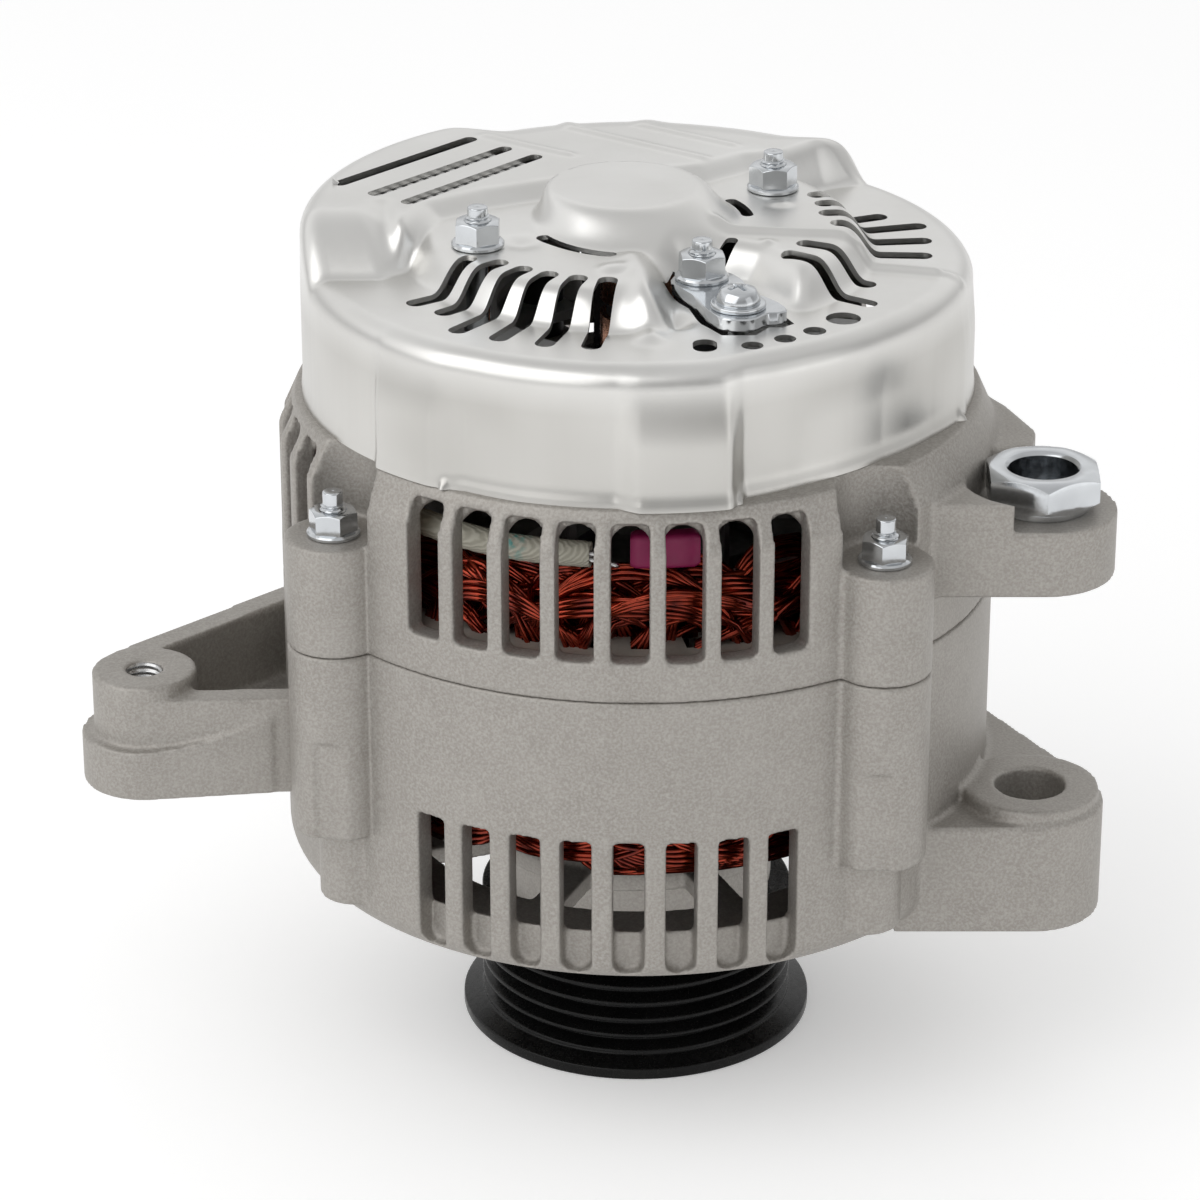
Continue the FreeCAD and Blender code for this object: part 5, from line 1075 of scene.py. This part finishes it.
def make_terminal_plate():
    """the output plate, which fills the cover's window but for a narrow gap"""
    low, high = node_box("terminal_plate")
    middle = np.mean(WINDOW_EDGE, axis=0)
    corners = []
    count = len(WINDOW_EDGE)
    for index in range(count):
        before, corner, after = (np.array(WINDOW_EDGE[(index + step) % count]) for step in (-1, 0, 1))
        for share in (0.25, 0.5, 0.75):
            point = on_bend((before + corner) / 2, corner, (corner + after) / 2, share)
            inward = (middle - point) / np.linalg.norm(middle - point)
            corners.append(point + inward * PLATE_GAP)
    total = len(corners)
    rows = []
    for inset, level in ((0.0, low[2] - PLATE_SKIRT), (0.0, high[2] - PLATE_EDGE), (PLATE_EDGE, high[2])):
        for corner in corners:
            inward = (middle - corner) / np.linalg.norm(middle - corner)
            rows.append((*(corner + inward * inset), level))
    faces = grid_faces(3, total, wrap=True) + end_faces(3, total)
    add_form("output_plate", (rows, faces), "zinc_steel", ("terminal_plate",), crisp=40)


# Adjusting ear and brush springs

EAR_THREAD_PLACE = (-94.5, -24.5)
EAR_THREAD_HEIGHTS = (62.5, 84.0)
EAR_THREAD_RADIUS = 3.45
EAR_THREAD_PITCH = 1.25
EAR_THREAD_DEPTH = 0.6


def make_ear_thread():
    """the thread inside the adjusting ear"""
    points, faces = thread(EAR_THREAD_PLACE, *EAR_THREAD_HEIGHTS, EAR_THREAD_RADIUS, EAR_THREAD_PITCH,
                           EAR_THREAD_DEPTH, inward=True)
    add_form("ear_thread", (points, [face[::-1] for face in faces]), "bearing_steel")


def make_brush_springs():
    """each brush spring as its own copy of its node's coiled form"""
    for number in (1, 2):
        node = f"brush_spring_{number}"
        mesh = NODES[node].data.copy()
        mesh.name = f"coiled_spring_{number}"
        spring = add_object(f"coiled_spring_{number}", mesh, "bearing_steel", (node,))
        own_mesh(spring)


# Pulley

CREST_RADIUS = 31.0
LIP_RADIUS = 34.9
RECESS_RADIUS = 24.0
HUB_RADIUS = 14.0
SHAFT_RADIUS = 8.5
WEB_LOW = 13.0
WEB_HIGH = 18.0
FIRST_GROOVE = 4.3
GROOVE_COUNT = 6
GROOVE_PITCH = 3.56
GROOVE_DEPTH = 2.9
GROOVE_CREST = 0.8
SHAFT_NUT_WIDTH = 24.0
SHAFT_NUT_BORE = 6.9


def make_pulley():
    """a grooved rim with a lip at its front, a thin web and a hub"""
    top = node_box("pulley")[1][2]
    valley_radius = CREST_RADIUS - GROOVE_DEPTH
    outline = [(RECESS_RADIUS, 0.0), (LIP_RADIUS, 0.0), (LIP_RADIUS, 2.2), (CREST_RADIUS, 3.5)]
    for index in range(GROOVE_COUNT):
        start = FIRST_GROOVE + GROOVE_PITCH * index
        valley = start + (GROOVE_PITCH - GROOVE_CREST * 2) / 2
        outline += [(CREST_RADIUS, start), (valley_radius, valley), (valley_radius, valley + GROOVE_CREST),
                    (CREST_RADIUS, start + GROOVE_PITCH - GROOVE_CREST)]
    outline += [(CREST_RADIUS, top), (RECESS_RADIUS, top), (RECESS_RADIUS, WEB_HIGH), (HUB_RADIUS, WEB_HIGH),
                (HUB_RADIUS, top), (SHAFT_RADIUS, top), (SHAFT_RADIUS, WEB_LOW), (RECESS_RADIUS, WEB_LOW)]
    add_form("belt_pulley", turned(rounded(outline, 0.35), 180), "black_paint", ("pulley",), "rotor", 40)
    low, high = node_box("pulley_nut")
    nut = hex_nut((0.0, 0.0), low[2], high[2] - low[2], SHAFT_NUT_WIDTH, SHAFT_NUT_BORE)
    add_form("shaft_nut", nut, "zinc_steel", ("pulley_nut",), "rotor", 30)


# Stage, light and camera

FLOOR_HALF_SIZE = 3000.0
FLOOR_GAP = 0.1
FLOOR_LIFT = 0.28
SKY_STRENGTH = 0.85
# Way from the front of the sky to its back, and greys of both from the horizon to the top
SKY_BACK = (-0.5, 0.87, 0.0)
SKY_BLEND = (-0.5, 0.35)
FRONT_GREYS = ((0.0, 1.1), (0.16, 0.6), (0.42, 0.45), (0.85, 0.8))
BACK_GREYS = ((0.0, 1.1), (0.14, 0.65), (0.42, 1.2), (0.95, 0.75))


def make_stage():
    """a pale floor, lifted to white where it is seen but not in the light it gives back"""
    size = FLOOR_HALF_SIZE
    mesh = mesh_from("floor", [(-size, -size, 0), (size, -size, 0), (size, size, 0), (-size, size, 0)],
                     [(0, 1, 2, 3)], smooth=False)
    floor = bpy.data.objects.new("floor", mesh)
    bpy.context.scene.collection.objects.link(floor)
    floor.location.z = -FLOOR_GAP * MM
    material, shader = new_material("floor_white", (0.9, 0.9, 0.9), 0.0, 0.9)
    shader.inputs["Specular IOR Level"].default_value = 0.0
    shader.inputs["Emission Color"].default_value = (1.0, 1.0, 1.0, 1.0)
    lift = ranged(material, seen_directly(material), 0.0, FLOOR_LIFT, 0.0, 1.0)
    link(material, lift, shader.inputs["Emission Strength"])
    mesh.materials.append(material)


def seen_directly(material):
    """1 for the camera's rays and for those that metal and glass pass on"""
    rays = add_node(material, "ShaderNodeLightPath")
    seen = rays.outputs["Is Camera Ray"]
    for kind in ("Is Glossy Ray", "Is Transmission Ray"):
        either = add_node(material, "ShaderNodeMath")
        either.operation = "MAXIMUM"
        link(material, seen, either.inputs[0])
        link(material, rays.outputs[kind], either.inputs[1])
        seen = either.outputs["Value"]
    return seen


def softbox(name, place, target, size, power):
    lamp = bpy.data.lights.new(name, "AREA")
    lamp.shape = "RECTANGLE"
    lamp.size, lamp.size_y = size[0] * MM, size[1] * MM
    lamp.energy = power
    holder = bpy.data.objects.new(name, lamp)
    bpy.context.scene.collection.objects.link(holder)
    holder.location = Vector(place) * MM
    holder.rotation_euler = (Vector(target) - Vector(place)).to_track_quat("-Z", "Y").to_euler()


def grey_ramp(world, value, stops):
    """a colour ramp of greys from (position, level) stops"""
    node = add_node(world, "ShaderNodeValToRGB")
    link(world, value, node.inputs["Fac"])
    elements = node.color_ramp.elements
    while len(elements) < len(stops):
        elements.new(0.5)
    for element, (position, level) in zip(elements, stops):
        element.position = position
        element.color = (level, level, level, 1.0)
    return node.outputs["Color"]


def make_lights():
    """two soft lamps and a sky that metal can show"""
    middle = (0.0, 0.0, 90.0)
    softbox("key", (-700.0, -700.0, 900.0), middle, (1500.0, 1200.0), 6.4)
    softbox("fill", (750.0, -450.0, 350.0), middle, (500.0, 700.0), 0.5)
    world = bpy.data.worlds.new("studio")
    world.use_nodes = True
    bpy.context.scene.world = world
    way = add_node(world, "ShaderNodeTexCoord").outputs["Generated"]
    split = add_node(world, "ShaderNodeSeparateXYZ")
    link(world, way, split.inputs["Vector"])
    front = grey_ramp(world, split.outputs["Z"], FRONT_GREYS)
    back = grey_ramp(world, split.outputs["Z"], BACK_GREYS)
    towards = add_node(world, "ShaderNodeVectorMath")
    towards.operation = "DOT_PRODUCT"
    towards.inputs[1].default_value = SKY_BACK
    link(world, way, towards.inputs[0])
    share = ranged(world, towards.outputs["Value"], 0.0, 1.0, *SKY_BLEND)
    sky = world.node_tree.nodes["Background"]
    link(world, blend_colours(world, share, front, back), sky.inputs["Color"])
    sky.inputs["Strength"].default_value = SKY_STRENGTH


def make_camera():
    data = bpy.data.cameras.new("camera")
    data.lens = CAMERA_LENS
    data.sensor_width = SENSOR
    data.clip_start, data.clip_end = 0.01, 20.0
    camera = bpy.data.objects.new("camera", data)
    bpy.context.scene.collection.objects.link(camera)
    drop = math.radians(CAMERA_DROP)
    x, y, z = CAMERA_TARGET
    back, rise = CAMERA_DISTANCE * math.cos(drop), CAMERA_DISTANCE * math.sin(drop)
    camera.location = Vector((x, y - back, z + rise)) * MM
    camera.rotation_euler = (math.pi / 2 - drop, 0.0, 0.0)
    bpy.context.scene.camera = camera


bpy.context.scene.view_settings.view_transform = "Standard"
make_camera()
make_stage()
make_lights()
dress_nodes()
make_castings()
make_rear_cover()
make_windings()
make_lead_sleeve()
make_lead_clip()
make_through_bolts()
make_cover_fasteners()
make_slider_bush()
make_terminal_screw()
make_terminal_plate()
make_sink_fins()
make_ear_thread()
make_brush_springs()
make_pulley()
